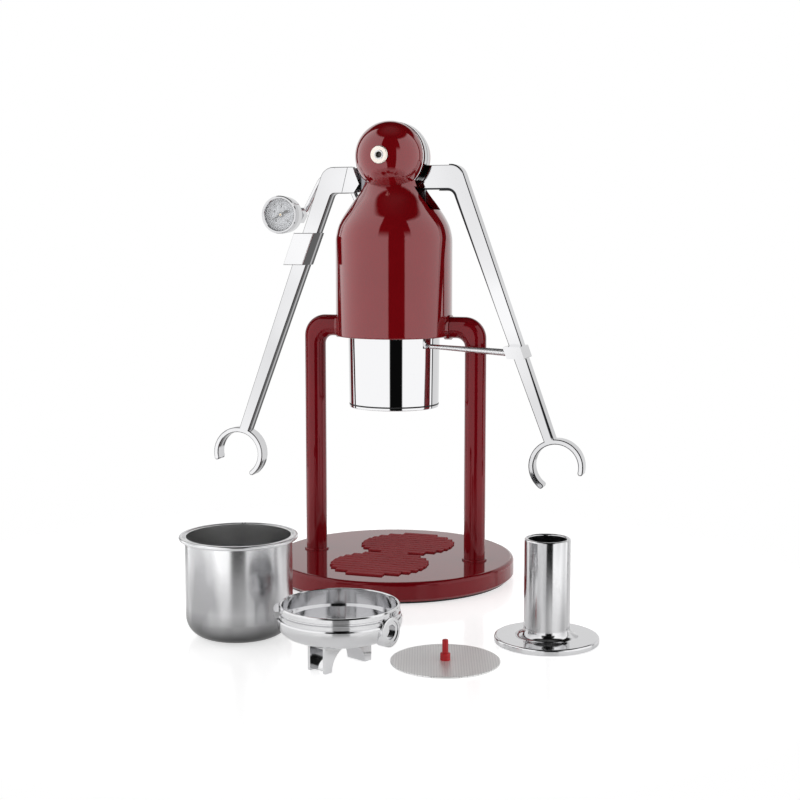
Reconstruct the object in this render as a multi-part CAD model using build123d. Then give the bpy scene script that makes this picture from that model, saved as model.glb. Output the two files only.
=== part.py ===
from build123d import *
import math
import os

os.makedirs("parts", exist_ok=True)

# Manual lever coffee press. Millimetres, +Z up, front of the press towards -Y.
# The origin is the centre of the round base, on the floor.

# Fits and small clearances
RUN_FIT = 0.05
STOP_GAP = 0.3
SCREW_HEAD_GAP = 0.2

# Height of the lever pivot: the head, levers, body and piston are set out down from it
HEAD_Z = 285.8

# Base, foot pad and ribbed mat
BASE_R = 82.5
FOOT_H = 1.6
FOOT_R = 79.5
BASE_TOP = 14.3
BASE_ROUND = 2.5
BASE_CHAMFER = 1.6
MAT_PITCH = 6.15
MAT_RIB_W = 5.3
MAT_RIB_H = 1.0
MAT_WEB_H = 0.4
MAT_CIRCLE_R = 32.5
MAT_CIRCLE_Y = 31.5
MAT_NECK_HALF = 9.8
MAT_RIBS_EACH_SIDE = 10
MAT_ROUND = 0.35

# Body casting
BODY_R = 39.5
BODY_BOTTOM = HEAD_Z - 119.9
BODY_BORE_R = BODY_R - 4.5
CAVITY_R = BODY_R - 6.5
SHOULDER_START = HEAD_Z - 56.8
NECK_TOP = HEAD_Z - 11.8
SLOT_HALF = 9.2
SLOT_FLOOR = HEAD_Z - 35.2
SLOT_FRONT_Y = -11.6
SLOT_STEP_TOP = HEAD_Z - 20.0
HEAD_R = 23.4
REAR_HEAD_R = 22.2
HEAD_Y = 8.2
PIVOT_R = 4.0

# Legs
LEG_X = BASE_R - 25.1
LEG_R = 7.2
LEG_SEAT = 1.5
LEG_TOP_Z = BODY_BOTTOM + 6.4
LEG_BEND_TIGHT = 7.4
LEG_BEND_WIDE = 13.0
LEG_SOCKET_X = BODY_R - 2.9
LEG_BOSS_R = 8.4
LEG_BOSS_X = BODY_R + 1.0
COLLAR_R = 8.5
COLLAR_H = 1.2
LEG_SCREW_R = 3.0
LEG_SCREW_HEAD_R = 5.0
LEG_SCREW_HEAD_H = 6.0
LEG_SCREW_HEAD_TOP = 7.9
LEG_SCREW_TOP = 30.0

# Guide plate, bush and circlip inside the body
GUIDE_LOW = HEAD_Z - 71.8
GUIDE_TOP = GUIDE_LOW + 5.5
CIRCLIP_H = 1.5
CIRCLIP_IN_R = BODY_BORE_R - 1.8
CIRCLIP_OUT_R = BODY_BORE_R + 1.4
CIRCLIP_GAP_DEG = 24.0
BUSH_R = 10.0
BUSH_FLANGE_R = 13.0
BUSH_FLANGE_TOP = GUIDE_TOP + 1.2

# Eye bolts in the ends of the pivot shaft
EYE_R = 5.85
EYE_OUT_Y = 31.9
EYE_SEAT_Y = 29.2
EYE_SHANK_R = 2.5
EYE_SHANK_END_Y = 17.0
EYE_HEX = 3.5
SHAFT_HALF = 28.9

# Levers
HUB_R = HEAD_R
HUB_IN_Y = 0.35
HUB_OUT_Y = 5.2
BAR_OUT_Y = 10.7
BAR_STEP_R = 38.5
STUB_ROOT_X = 20.0
STUB_LOW = HEAD_Z - 24.1
STUB_TOP = HEAD_Z - 6.5
RIGHT_STUB_RISE = 1.5
RELIEF_R = 27.4
RELIEF_DEPTH = 1.2
ELBOW_X = 43.8
ELBOW_Z = HEAD_Z - 15.5
BAR_TILT_DEG = 20.4
BAR_W_START = 11.1
BAR_W_SLOPE = 0.0228
BAR_LENGTH = 184.5
ELBOW_OUT_ROUND = 9.5
ELBOW_IN_ROUND = 3.5
RIGHT_ELBOW_IN_ROUND = 5.0
RING_ALONG = BAR_LENGTH + 17.1
RING_ACROSS = -1.57
RING_R = 18.5
RING_WALL = 3.4
RING_OPEN_DEG = 115.0
BAR_EDGE_ROUND = 0.7
WASHER_R = 12.0
WASHER_HALF = 0.3

# Gears and racks
TEETH = 26
PITCH_R = 16.0
PRESSURE_DEG = 20.0
GEAR_BACKLASH = 0.24
GEAR_OUT_Y = 9.0
ADDENDUM = 0.95
DEDENDUM = 1.2
RACK_TEETH = 11
RACK_BACK_X = 20.0
RACK_IN_Y = 5.4
RACK_FOOT_X = 15.0
RACK_FOOT_RISE = 14.5

# Crossbar, piston rod and piston
CROSS_LOW = BUSH_FLANGE_TOP + STOP_GAP
CROSS_TOP = CROSS_LOW + 7.5
CROSS_HALF_X = 21.0
CROSS_HALF_Y = 9.0
CROSS_LUG_ROOT_X = 20.0
CROSS_LUG_X = BODY_R - 10.0
ROD_R = 8.0
ROD_SPIGOT_R = 5.0
ROD_SPIGOT_TOP = CROSS_TOP - 3.5
PISTON_TOP = HEAD_Z - 107.8
PISTON_LOW = HEAD_Z - 168.2
PISTON_TOP_R = BODY_BORE_R - 3.8
PISTON_LOW_R = BODY_BORE_R - 4.6
PISTON_WALL = 1.8
PISTON_ROOF = 3.0
PISTON_FLANGE_H = 0.8
PISTON_BASE_TOP = PISTON_LOW + 3.6
ROD_COLLAR_R = 11.0
ROD_COLLAR_H = 2.4
SEAL_LOW = PISTON_LOW + 1.7
SEAL_H = 1.0
SEAL_IN_R = PISTON_LOW_R - 0.8
SEAL_OUT_R = PISTON_LOW_R + 0.12
SMALL_SCREW_R = 2.5

# Clip on the left lever
CLIP_TOP = HEAD_Z - 50.6
CLIP_LOW = HEAD_Z - 72.2
CLIP_OUTER_X = 65.0
CLIP_FRONT_Y = -20.0
CLIP_SKIN = 1.5

# Stay collar and stay rod on the right lever
STAY_Z = HEAD_Z - 128.8
STAY_COLLAR_H = 8.0
STAY_WALL = 1.5
STAY_LOBE_Y = -11.4
STAY_TIP = (30.3, -13.4, STAY_Z + 3.2)
STAY_ROOT = (82.0, -8.4, STAY_Z - 0.1)
STAY_SOCKET_LEN = 30.0
STAY_ROOT_R = 2.4
STAY_TIP_R = 1.5

# Pressure gauge, its stem and its tube
GAUGE_X = -84.6
GAUGE_Z = HEAD_Z - 38.0
GAUGE_R = 13.1
GAUGE_FACE_Y = 1.5
BEZEL_DEPTH = 5.0
BEZEL_WINDOW_R = 11.0
CASE_R = 12.6
CASE_WALL = 1.2
CASE_CONE_Y = 13.5
CASE_BACK_Y = 20.5
CASE_BACK_R = 8.2
LENS_Y = 2.3
LENS_H = 0.9
DIAL_Y = 5.9
DIAL_H = 0.6
NEEDLE_Y = 4.5
NEEDLE_H = 0.5
NEEDLE_PIN_R = 0.6
NEEDLE_ANGLE_DEG = 208.0
STEM_R = 3.6
NUT_LOW_Y = 33.0
NUT_HIGH_Y = 40.0
NUT_ACROSS = 11.0
TUBE_R = 2.3
TUBE_X = 3.0 - CROSS_LUG_X
TUBE_Y = 5.0
TUBE_BACK_Y = 47.7
TUBE_CORNERS = [(-68.5, 42.0, HEAD_Z - 13.0), (-45.8, 26.5, HEAD_Z - 5.7)]
TUBE_LAST_Z = HEAD_Z - 32.0
TUBE_BENDS = [5.5, 6.5, 20.5, 11.0]

# Basket
BASKET_X = -41.5
BASKET_Y = -166.0
BASKET_IN_R = 30.7
BASKET_WALL = 0.75
BASKET_H = 59.6
BASKET_CORNER = 12.5
BASKET_BEAD_R = 0.8
BASKET_RIM_R = 34.8
BASKET_HOLE_R = 0.9

# Holder with spout and handle boss
HOLDER_X = 36.1
HOLDER_Y = -205.1
HOLDER_IN_R = 31.6
HOLDER_RIM_R = 33.2
HOLDER_BULGE_R = 34.3
HOLDER_H = 34.7
HOLDER_FLOOR = 18.2
HOLDER_WELL_R = 28.5
HOLDER_LEDGE = 25.2
HOLDER_UNDER = 15.5
HOLDER_FLAT_R = 20.0
SPOUT_TURN_DEG = -24.0
SPOUT_HALF_LEN = 18.0
SPOUT_HALF_W = 6.8
SPOUT_WALL = 1.9
SPOUT_ARCH_R = 13.0
SPOUT_ARCH_Z = -0.6
DRAIN_R = 3.0
NIPPLE_FLANGE_R = 6.4
NIPPLE_FLANGE_H = 1.0
HANDLE_TURN_DEG = -18.0
HANDLE_BOSS_Z = 24.2
HANDLE_BOSS_R = 8.2
HANDLE_BOSS_START = 29.6
HANDLE_BOSS_END = 35.2
HANDLE_RECESS_R = 6.2
HANDLE_RECESS_DEPTH = 2.4
HANDLE_INSERT_H = 2.0
HANDLE_SOCKET_R = 4.0

# Dispersion screen
SCREEN_X = 89.7
SCREEN_Y = -182.5
SCREEN_R = 30.4
SCREEN_H = 1.2
STEM_TOP = 12.8
STEM_TIP_R = 1.7
STEM_COLLAR_R = 2.85
STEM_COLLAR_TOP = 5.2
RIVET_R = 0.8
RIVET_HEAD_R = 2.4
RIVET_HEAD_H = 0.5

# Tamper
TAMPER_X = 134.5
TAMPER_Y = -126.0
TAMPER_R = 30.4
TAMPER_BASE_H = 3.6
TAMPER_TUBE_R = 13.3
TAMPER_BORE_R = 10.95
TAMPER_H = 60.9
TAMPER_FOOT = 5.0
TAMPER_PLUG_TOP = 9.0
TAMPER_SOCKET_R = TAMPER_BORE_R + 0.45

BOTTOM = (Align.CENTER, Align.CENTER, Align.MIN)


def upright(radius, low, high, x=0.0, y=0.0):
    """Cylinder along Z between two heights."""
    return Pos(x, y, low) * Cylinder(radius, high - low, align=BOTTOM)


def along_y(radius, low, high, x=0.0, z=0.0):
    """Cylinder along Y between two depths."""
    return Pos(x, low, z) * Rot(-90, 0, 0) * Cylinder(radius, high - low, align=BOTTOM)


def along_x(radius, low, high, y=0.0, z=0.0):
    """Cylinder along X between two positions."""
    return Pos(low, y, z) * Rot(0, 90, 0) * Cylinder(radius, high - low, align=BOTTOM)


def block(x0, x1, y0, y1, z0, z1):
    """Box between two corners."""
    size = Box(x1 - x0, y1 - y0, z1 - z0, align=(Align.MIN, Align.MIN, Align.MIN))
    return Pos(x0, y0, z0) * size


def turned(edges):
    """Solid of revolution about Z from edges that close a profile in the XZ plane."""
    return revolve(make_face(edges), axis=Axis.Z)


def ring(inner, outer, low, high):
    """Plain ring about Z."""
    return upright(outer, low, high) - upright(inner, low, high)


def path(points):
    """Polyline in the XZ plane through (radius, height) points."""
    return Polyline(*[(r, 0, z) for r, z in points])


def prism(points, y0, y1):
    """Plate with an outline of (x, z) points, between two depths."""
    outline = make_face(Polyline(*points, close=True))
    return Pos(0, y1, 0) * extrude(Plane.XZ * outline, amount=y1 - y0)


def hex_hole(across, low, high):
    """Hexagonal socket about Z."""
    outline = RegularPolygon(across / 2, 6, major_radius=False)
    return Pos(0, 0, low) * extrude(outline, amount=high - low)


def cap_screw(shank_r, head_r, seat, head_end, tip):
    """Screw about Z whose head lies between head_end and seat, with a hex socket."""
    down = head_end < seat
    head = upright(head_r, min(seat, head_end), max(seat, head_end))
    shank = upright(shank_r, min(seat, tip), max(seat, tip))
    depth = abs(seat - head_end) * 0.6
    low = head_end if down else head_end - depth
    return head + shank - hex_hole(head_r, low, low + depth)


def mirrored(solid):
    """The same piece on the other side of the YZ plane."""
    return mirror(solid, about=Plane.YZ)


def save(solid, node):
    """Write one node."""
    export_step(solid, "parts/" + node + ".step")


# Base plate and its rubber pad
base = upright(BASE_R, FOOT_H, BASE_TOP)
base = fillet(base.edges().group_by(Axis.Z)[-1], BASE_ROUND)
base = chamfer(base.edges().group_by(Axis.Z)[0], BASE_CHAMFER)
for side in (-1, 1):
    x = side * LEG_X
    base -= upright(LEG_SCREW_HEAD_R + SCREW_HEAD_GAP, FOOT_H, LEG_SCREW_HEAD_TOP, x)
    base -= upright(LEG_SCREW_R + RUN_FIT, FOOT_H, BASE_TOP, x)
    base -= upright(LEG_R + RUN_FIT, BASE_TOP - LEG_SEAT, BASE_TOP + 1, x)
save(base, "base_plate")

PAD_GROOVE = 0.5
PAD_GROOVE_W = 3.0
PAD_GROOVE_RADII = (FOOT_R - 34.5, FOOT_R - 13.5)
pad = upright(FOOT_R, 0, FOOT_H)
pad = chamfer(pad.edges().group_by(Axis.Z)[0], PAD_GROOVE)
for radius in PAD_GROOVE_RADII:
    pad -= ring(radius, radius + PAD_GROOVE_W, 0, PAD_GROOVE)
save(pad, "foot_pad")


def mat_half_width(y):
    """Half width of the mat outline at a depth y: two circles joined by a neck."""
    offset = abs(abs(y) - MAT_CIRCLE_Y)
    if offset >= MAT_CIRCLE_R:
        return MAT_NECK_HALF
    return max(MAT_NECK_HALF, math.sqrt(MAT_CIRCLE_R**2 - offset**2))


mat = None
for i in range(-MAT_RIBS_EACH_SIDE, MAT_RIBS_EACH_SIDE + 1):
    y = i * MAT_PITCH
    half = mat_half_width(y)
    low = BASE_TOP
    rib = block(-half, half, y - MAT_RIB_W / 2, y + MAT_RIB_W / 2, low, low + MAT_RIB_H)
    rib = fillet(rib.edges().group_by(Axis.Z)[-1], MAT_ROUND)
    web_front = y - MAT_PITCH / 2
    web_half = half - MAT_ROUND
    web = block(-web_half, web_half, web_front, web_front + MAT_PITCH, low, low + MAT_WEB_H)
    mat = rib + web if mat is None else mat + rib + web
save(mat, "ribbed_mat")


def leg_path(bend):
    """Centre line of the right leg with one bend radius."""
    foot = (LEG_X, 0, BASE_TOP - LEG_SEAT)
    knee = (LEG_X, 0, LEG_TOP_Z - bend)
    hip = (LEG_X - bend, 0, LEG_TOP_Z)
    end = (LEG_SOCKET_X, 0, LEG_TOP_Z)
    corner = bend * (1 - math.sqrt(0.5))
    middle = (LEG_X - corner, 0, LEG_TOP_Z - corner)
    return [Line(foot, knee), ThreePointArc(knee, middle, hip), Line(hip, end)]


def leg_bar(bend):
    """Round bar of the right leg with one bend radius."""
    line = Wire(leg_path(bend))
    start = Plane(origin=(LEG_X, 0, BASE_TOP - LEG_SEAT), z_dir=(0, 0, 1))
    return sweep(start * Circle(LEG_R), path=line)


# The bend is tighter outside than inside, so two bends are joined
leg = leg_bar(LEG_BEND_TIGHT) + leg_bar(LEG_BEND_WIDE)
leg -= upright(LEG_SCREW_R + RUN_FIT, 0, LEG_SCREW_TOP + 2, LEG_X)
save(leg, "leg_right")
save(mirrored(leg), "leg_left")

collar = ring(LEG_R + RUN_FIT, COLLAR_R, BASE_TOP, BASE_TOP + COLLAR_H)
collar = fillet(collar.edges().group_by(Axis.Z)[-1].sort_by(SortBy.LENGTH)[-1], COLLAR_H / 2)
save(Compound([Pos(side * LEG_X, 0, 0) * collar for side in (-1, 1)]), "leg_collars")

head_low = LEG_SCREW_HEAD_TOP - LEG_SCREW_HEAD_H
screw = cap_screw(LEG_SCREW_R, LEG_SCREW_HEAD_R, LEG_SCREW_HEAD_TOP, head_low, LEG_SCREW_TOP)
save(Compound([Pos(side * LEG_X, 0, 0) * screw for side in (-1, 1)]), "leg_screws")

# Body casting: shouldered cylinder, two domed cheeks and the slot between them
# Each shoulder point is a share of the body radius and a depth below the pivot
SHOULDER = [
    (0.985, 51.3),
    (0.947, 45.8),
    (0.886, 40.8),
    (0.805, 35.8),
    (0.699, 29.8),
    (0.597, 24.3),
    (0.522, 18.8),
]
NECK_END = (0.491 * BODY_R, NECK_TOP)
shoulder_points = [(BODY_R, SHOULDER_START)]
for share, drop in SHOULDER:
    shoulder_points.append((share * BODY_R, HEAD_Z - drop))
shoulder_points.append(NECK_END)
shoulder_line = Spline(
    *[(r, 0, z) for r, z in shoulder_points],
    tangents=[(0, 0, 1), (-0.1, 0, 1)],
)
outer = [
    path([(0, BODY_BOTTOM), (BODY_R, BODY_BOTTOM), (BODY_R, SHOULDER_START)]),
    shoulder_line,
    path([NECK_END, (0, NECK_TOP), (0, BODY_BOTTOM)]),
]
body = turned(outer)
body = fillet(body.edges().group_by(Axis.Z)[0], 1.0)
body += Pos(0, -HEAD_Y, HEAD_Z) * Sphere(HEAD_R)
body += Pos(0, HEAD_Y, HEAD_Z) * Sphere(REAR_HEAD_R)
for side in (-1, 1):
    boss = along_x(LEG_BOSS_R, LEG_SOCKET_X, LEG_BOSS_X, 0, LEG_TOP_Z)
    body += boss if side > 0 else mirrored(boss)
body -= block(-BODY_R, BODY_R, -SLOT_HALF, SLOT_HALF, SLOT_FLOOR, HEAD_Z + 2 * HEAD_R)
body -= block(-BODY_R, BODY_R, SLOT_FRONT_Y, 0, SLOT_FLOOR, SLOT_STEP_TOP)

CAVITY_TOP = HEAD_Z - 29.8
hollow = path(
    [
        (0, BODY_BOTTOM - 1),
        (BODY_BORE_R, BODY_BOTTOM - 1),
        (BODY_BORE_R, GUIDE_TOP),
        (CAVITY_R, GUIDE_TOP),
        (CAVITY_R, SHOULDER_START + 5.0),
        (CAVITY_R - 1.8, SHOULDER_START + 14.0),
        (CAVITY_R - 4.8, SHOULDER_START + 20.0),
        (CAVITY_R - 11.0, CAVITY_TOP),
        (0, CAVITY_TOP),
        (0, BODY_BOTTOM - 1),
    ]
)
body -= turned(hollow)
body -= ring(CIRCLIP_IN_R, CIRCLIP_OUT_R + RUN_FIT, GUIDE_LOW - CIRCLIP_H, GUIDE_LOW)
for side in (-1, 1):
    socket = along_x(LEG_R + RUN_FIT, LEG_SOCKET_X, LEG_BOSS_X + 5, 0, LEG_TOP_Z)
    body -= socket if side > 0 else mirrored(socket)
    seat_low = EYE_SEAT_Y if side > 0 else -EYE_OUT_Y - 2
    body -= along_y(EYE_R + SCREW_HEAD_GAP, seat_low, seat_low + EYE_OUT_Y + 2 - EYE_SEAT_Y, 0, HEAD_Z)
body -= along_y(PIVOT_R + RUN_FIT, -EYE_OUT_Y, EYE_OUT_Y, 0, HEAD_Z)

# Relief in the wall for the lug that carries the gauge tube
LUG_RELIEF_R = CROSS_LUG_X + 1.6
relief = block(-LUG_RELIEF_R, -CROSS_LUG_ROOT_X, 1.0, SLOT_HALF, CROSS_LOW, SLOT_FLOOR + 1)
body -= relief & upright(LUG_RELIEF_R, CROSS_LOW, SLOT_FLOOR + 1)
save(body, "body_casting")

# Guide plate, bush and circlip
plate = upright(BODY_BORE_R - RUN_FIT, GUIDE_LOW, GUIDE_TOP)
plate -= upright(BUSH_R + RUN_FIT, GUIDE_LOW, GUIDE_TOP)
LIGHTENING_R = 4.0
LIGHTENING_AT = BODY_BORE_R - 13.0
for i in range(6):
    angle = math.radians(60 * i)
    hole = upright(LIGHTENING_R, GUIDE_LOW, GUIDE_TOP)
    plate -= Pos(LIGHTENING_AT * math.cos(angle), LIGHTENING_AT * math.sin(angle), 0) * hole
save(plate, "guide_plate")

bush = upright(BUSH_R, GUIDE_LOW, GUIDE_TOP)
bush += upright(BUSH_FLANGE_R, GUIDE_TOP, BUSH_FLANGE_TOP)
bush -= upright(ROD_R + RUN_FIT, GUIDE_LOW, BUSH_FLANGE_TOP)
save(bush, "guide_bush")

clip_ring = ring(CIRCLIP_IN_R, CIRCLIP_OUT_R, GUIDE_LOW - CIRCLIP_H, GUIDE_LOW)
half_gap = math.radians(CIRCLIP_GAP_DEG / 2)
reach = 2 * CIRCLIP_OUT_R
gap = make_face(
    Polyline(
        (0, 0),
        (reach * math.sin(half_gap), -reach * math.cos(half_gap)),
        (-reach * math.sin(half_gap), -reach * math.cos(half_gap)),
        close=True,
    )
)
clip_ring -= Pos(0, 0, GUIDE_LOW - CIRCLIP_H - 1) * extrude(gap, amount=CIRCLIP_H + 2)
save(clip_ring, "guide_circlip")

# Pivot shaft with a button bolt in each end
shaft = along_y(PIVOT_R, -SHAFT_HALF, SHAFT_HALF, 0, HEAD_Z)
for side in (-1, 1):
    low = EYE_SHANK_END_Y - 2 if side > 0 else -SHAFT_HALF
    shaft -= along_y(EYE_SHANK_R + RUN_FIT, low, low + SHAFT_HALF - EYE_SHANK_END_Y + 2, 0, HEAD_Z)
save(shaft, "pivot_shaft")

EYE_ROUND = 0.8
eye = upright(EYE_R, EYE_SEAT_Y, EYE_OUT_Y)
eye = fillet(eye.edges().group_by(Axis.Z)[-1], EYE_ROUND)
eye += upright(EYE_SHANK_R, EYE_SHANK_END_Y, EYE_SEAT_Y)
eye -= hex_hole(EYE_HEX, EYE_OUT_Y - 2, EYE_OUT_Y)
save(Pos(0, 0, HEAD_Z) * Rot(90, 0, 0) * eye, "eye_bolt")
save(Pos(0, 0, HEAD_Z) * Rot(-90, 0, 0) * eye, "rear_bolt")

washer = along_y(WASHER_R, -WASHER_HALF, WASHER_HALF, 0, HEAD_Z)
washer -= along_y(PIVOT_R + RUN_FIT, -WASHER_HALF, WASHER_HALF, 0, HEAD_Z)
save(washer, "hub_washer")


def bar_point(along, across):
    """Point (x, z) on the right lever's bar, from its elbow along and across its axis."""
    tilt = math.radians(BAR_TILT_DEG)
    x = ELBOW_X + along * math.sin(tilt) + across * math.cos(tilt)
    z = ELBOW_Z - along * math.cos(tilt) + across * math.sin(tilt)
    return (x, z)


def bar_half(along):
    """Half width of the bar at a distance from the elbow."""
    return (BAR_W_START - BAR_W_SLOPE * along) / 2


def bar_edge_at(height, side):
    """Point (x, z) where one edge of the bar, carried on straight, crosses a height."""
    x0, z0 = bar_point(0, side * bar_half(0))
    x1, z1 = bar_point(BAR_LENGTH, side * bar_half(BAR_LENGTH))
    share = (height - z0) / (z1 - z0)
    return (x0 + share * (x1 - x0), height)


def lever_outline(rise, inner_round):
    """Outline of stub and bar in (x, z), with rounded elbow corners."""
    inner_corner = bar_edge_at(STUB_LOW + rise, -1)
    outer_corner = bar_edge_at(STUB_TOP + rise, 1)
    outline = [
        (STUB_ROOT_X, STUB_LOW + rise),
        inner_corner,
        bar_point(BAR_LENGTH, -bar_half(BAR_LENGTH)),
        bar_point(BAR_LENGTH, bar_half(BAR_LENGTH)),
        outer_corner,
        (STUB_ROOT_X, STUB_TOP + rise),
    ]
    face = make_face(Polyline(*outline, close=True))
    corners = face.vertices()
    face = fillet(corners.sort_by_distance((*inner_corner, 0))[0], inner_round)
    corners = face.vertices()
    return fillet(corners.sort_by_distance((*outer_corner, 0))[0], ELBOW_OUT_ROUND)


def finger_ring():
    """C-shaped ring outline in (x, z), open away from the bar, with rounded ends."""
    middle = RING_R - RING_WALL / 2
    outline = Circle(RING_R) - Circle(RING_R - RING_WALL)
    opening = -90 + BAR_TILT_DEG
    half = RING_OPEN_DEG / 2
    reach = 3 * RING_R
    corners = [(0, 0)]
    for turn in (-half, -half / 2, 0, half / 2, half):
        angle = math.radians(opening + turn)
        corners.append((reach * math.cos(angle), reach * math.sin(angle)))
    outline -= make_face(Polyline(*corners, close=True))
    for turn in (-half, half):
        angle = math.radians(opening + turn)
        outline += Pos(middle * math.cos(angle), middle * math.sin(angle)) * Circle(RING_WALL / 2)
    centre = bar_point(RING_ALONG, RING_ACROSS)
    return Pos(*centre) * outline


def plate_at(face, y0, y1):
    """Extrude a face drawn in (x, z) between two depths."""
    return Pos(0, y1, 0) * extrude(Plane.XZ * face, amount=y1 - y0)


def lever(rise, inner_round):
    """Right-hand lever: thin where it passes through the head, thick beyond it."""
    face = lever_outline(rise, inner_round) + finger_ring()
    thick = plate_at(face, HUB_IN_Y, BAR_OUT_Y)
    thick -= along_y(BAR_STEP_R, HUB_IN_Y - 1, BAR_OUT_Y + 1, 0, HEAD_Z)
    flats = thick.faces().filter_by(Axis.Y)
    thick = fillet(flats.edges(), BAR_EDGE_ROUND)
    low = STUB_LOW + rise + BAR_EDGE_ROUND
    high = STUB_TOP + rise - BAR_EDGE_ROUND
    stub = block(HUB_R / 2, BAR_STEP_R + 1.5, HUB_IN_Y, HUB_OUT_Y, low, high)
    relief_end = HUB_IN_Y + RELIEF_DEPTH
    stub -= along_y(RELIEF_R, HUB_IN_Y, relief_end, 0, HEAD_Z)
    solid = stub + thick + along_y(HUB_R, HUB_IN_Y, HUB_OUT_Y, 0, HEAD_Z)
    return solid - along_y(PIVOT_R + RUN_FIT, 0, BAR_OUT_Y, 0, HEAD_Z)


save(lever(RIGHT_STUB_RISE, RIGHT_ELBOW_IN_ROUND), "arm_right")
save(Rot(0, 0, 180) * lever(0, ELBOW_IN_ROUND), "arm_left")


def involute(angle):
    """Involute function."""
    return math.tan(angle) - angle


def gear_face():
    """Gear outline about its own centre, with a tooth space towards +X."""
    module = 2 * PITCH_R / TEETH
    pressure = math.radians(PRESSURE_DEG)
    base_r = PITCH_R * math.cos(pressure)
    tip_r = PITCH_R + ADDENDUM * module
    root_r = PITCH_R - DEDENDUM * module
    half_pitch = (math.pi * PITCH_R / TEETH - GEAR_BACKLASH) / (2 * PITCH_R)
    flank = []
    for step in range(4):
        radius = base_r + (tip_r - base_r) * step / 3
        half = half_pitch + involute(pressure) - involute(math.acos(base_r / radius))
        flank.append((radius, half))
    flank = [(root_r, flank[0][1])] + flank
    points = []
    for tooth in range(TEETH):
        centre = (tooth + 0.5) * 2 * math.pi / TEETH
        for radius, half in flank:
            points.append((radius * math.cos(centre - half), radius * math.sin(centre - half)))
        for radius, half in reversed(flank):
            points.append((radius * math.cos(centre + half), radius * math.sin(centre + half)))
    return make_face(Polyline(*points, close=True))


gear = plate_at(Pos(0, HEAD_Z) * gear_face(), HUB_OUT_Y, GEAR_OUT_Y)
gear -= along_y(PIVOT_R + RUN_FIT, HUB_OUT_Y, GEAR_OUT_Y, 0, HEAD_Z)
save(gear, "gear_right")
save(Rot(0, 0, 180) * gear, "gear_left")


def rack_points():
    """Outline of the right rack in (x, z), teeth towards the gear."""
    module = 2 * PITCH_R / TEETH
    pitch = math.pi * module
    slope = math.tan(math.radians(PRESSURE_DEG))
    tip_x = PITCH_R - ADDENDUM * module
    root_x = PITCH_R + (ADDENDUM + 0.3) * module
    half_tip = pitch / 4 - slope * (PITCH_R - tip_x)
    half_root = pitch / 4 + slope * (root_x - PITCH_R)
    top = HEAD_Z + half_root
    points = [(RACK_BACK_X, CROSS_TOP), (RACK_BACK_X, top)]
    for tooth in range(RACK_TEETH):
        z = HEAD_Z - tooth * pitch
        points.append((root_x, z + half_root))
        points.append((tip_x, z + half_tip))
        points.append((tip_x, z - half_tip))
        points.append((root_x, z - half_root))
    points.append((root_x, CROSS_TOP + RACK_FOOT_RISE))
    points.append((RACK_FOOT_X, CROSS_TOP + RACK_FOOT_RISE))
    points.append((RACK_FOOT_X, CROSS_TOP))
    return points


# Racks and the screws that hold them on the crossbar
RACK_SCREW_X = (RACK_FOOT_X + RACK_BACK_X) / 2
RACK_SCREW_Y = 7.0
RACK_SCREW_R = 1.1
RACK_SCREW_HEAD_R = 1.6
RACK_SCREW_HEAD_H = 2.2
RACK_SCREW_TOP = CROSS_TOP + 9.5
rack = prism(rack_points(), RACK_IN_Y, GEAR_OUT_Y)
rack -= upright(RACK_SCREW_R + RUN_FIT, CROSS_TOP, RACK_SCREW_TOP + 1, RACK_SCREW_X, RACK_SCREW_Y)
save(rack, "rack_right")
save(Rot(0, 0, 180) * rack, "rack_left")

rack_screw = cap_screw(
    RACK_SCREW_R, RACK_SCREW_HEAD_R, CROSS_LOW + RACK_SCREW_HEAD_H, CROSS_LOW, RACK_SCREW_TOP
)
placed_screw = Pos(RACK_SCREW_X, RACK_SCREW_Y, 0) * rack_screw
save(Compound([placed_screw, Rot(0, 0, 180) * placed_screw]), "rack_screws")

# Crossbar with the lug for the gauge tube
cross = block(-CROSS_HALF_X, CROSS_HALF_X, -CROSS_HALF_Y, CROSS_HALF_Y, CROSS_LOW, CROSS_TOP)
lug_half = CROSS_LUG_X + TUBE_X + 0.4
lug_front = TUBE_Y - lug_half
cross += block(-CROSS_LUG_X, -CROSS_LUG_ROOT_X, lug_front, TUBE_Y + lug_half, CROSS_LOW, CROSS_TOP)
cross -= upright(ROD_SPIGOT_R + RUN_FIT, CROSS_LOW, CROSS_TOP)
for turn in (0, 180):
    hole = upright(RACK_SCREW_R + RUN_FIT, CROSS_LOW, CROSS_TOP, RACK_SCREW_X, RACK_SCREW_Y)
    seat_top = CROSS_LOW + RACK_SCREW_HEAD_H
    hole += upright(RACK_SCREW_HEAD_R + RUN_FIT, CROSS_LOW, seat_top, RACK_SCREW_X, RACK_SCREW_Y)
    cross -= Rot(0, 0, turn) * hole
FITTING_SEAT = 2.0
cross -= upright(TUBE_R + RUN_FIT, CROSS_LOW + FITTING_SEAT, CROSS_TOP, TUBE_X, TUBE_Y)
save(cross, "crossbar")

# Piston rod with its thrust collar
rod = upright(ROD_R, PISTON_BASE_TOP, CROSS_LOW)
rod += upright(ROD_SPIGOT_R, CROSS_LOW, ROD_SPIGOT_TOP)
rod += upright(ROD_COLLAR_R, PISTON_TOP, PISTON_TOP + ROD_COLLAR_H)
TOP_SCREW_END = CROSS_LOW - 13.0
BASE_SCREW_END = PISTON_LOW + 18.4
rod -= upright(SMALL_SCREW_R + RUN_FIT, TOP_SCREW_END - 2, ROD_SPIGOT_TOP)
rod -= upright(SMALL_SCREW_R + RUN_FIT, PISTON_BASE_TOP, BASE_SCREW_END + 2)
save(rod, "piston_rod")

top_screw = cap_screw(SMALL_SCREW_R, ROD_SPIGOT_R, ROD_SPIGOT_TOP, CROSS_TOP - 0.2, TOP_SCREW_END)
save(top_screw, "crossbar_screw")

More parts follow.
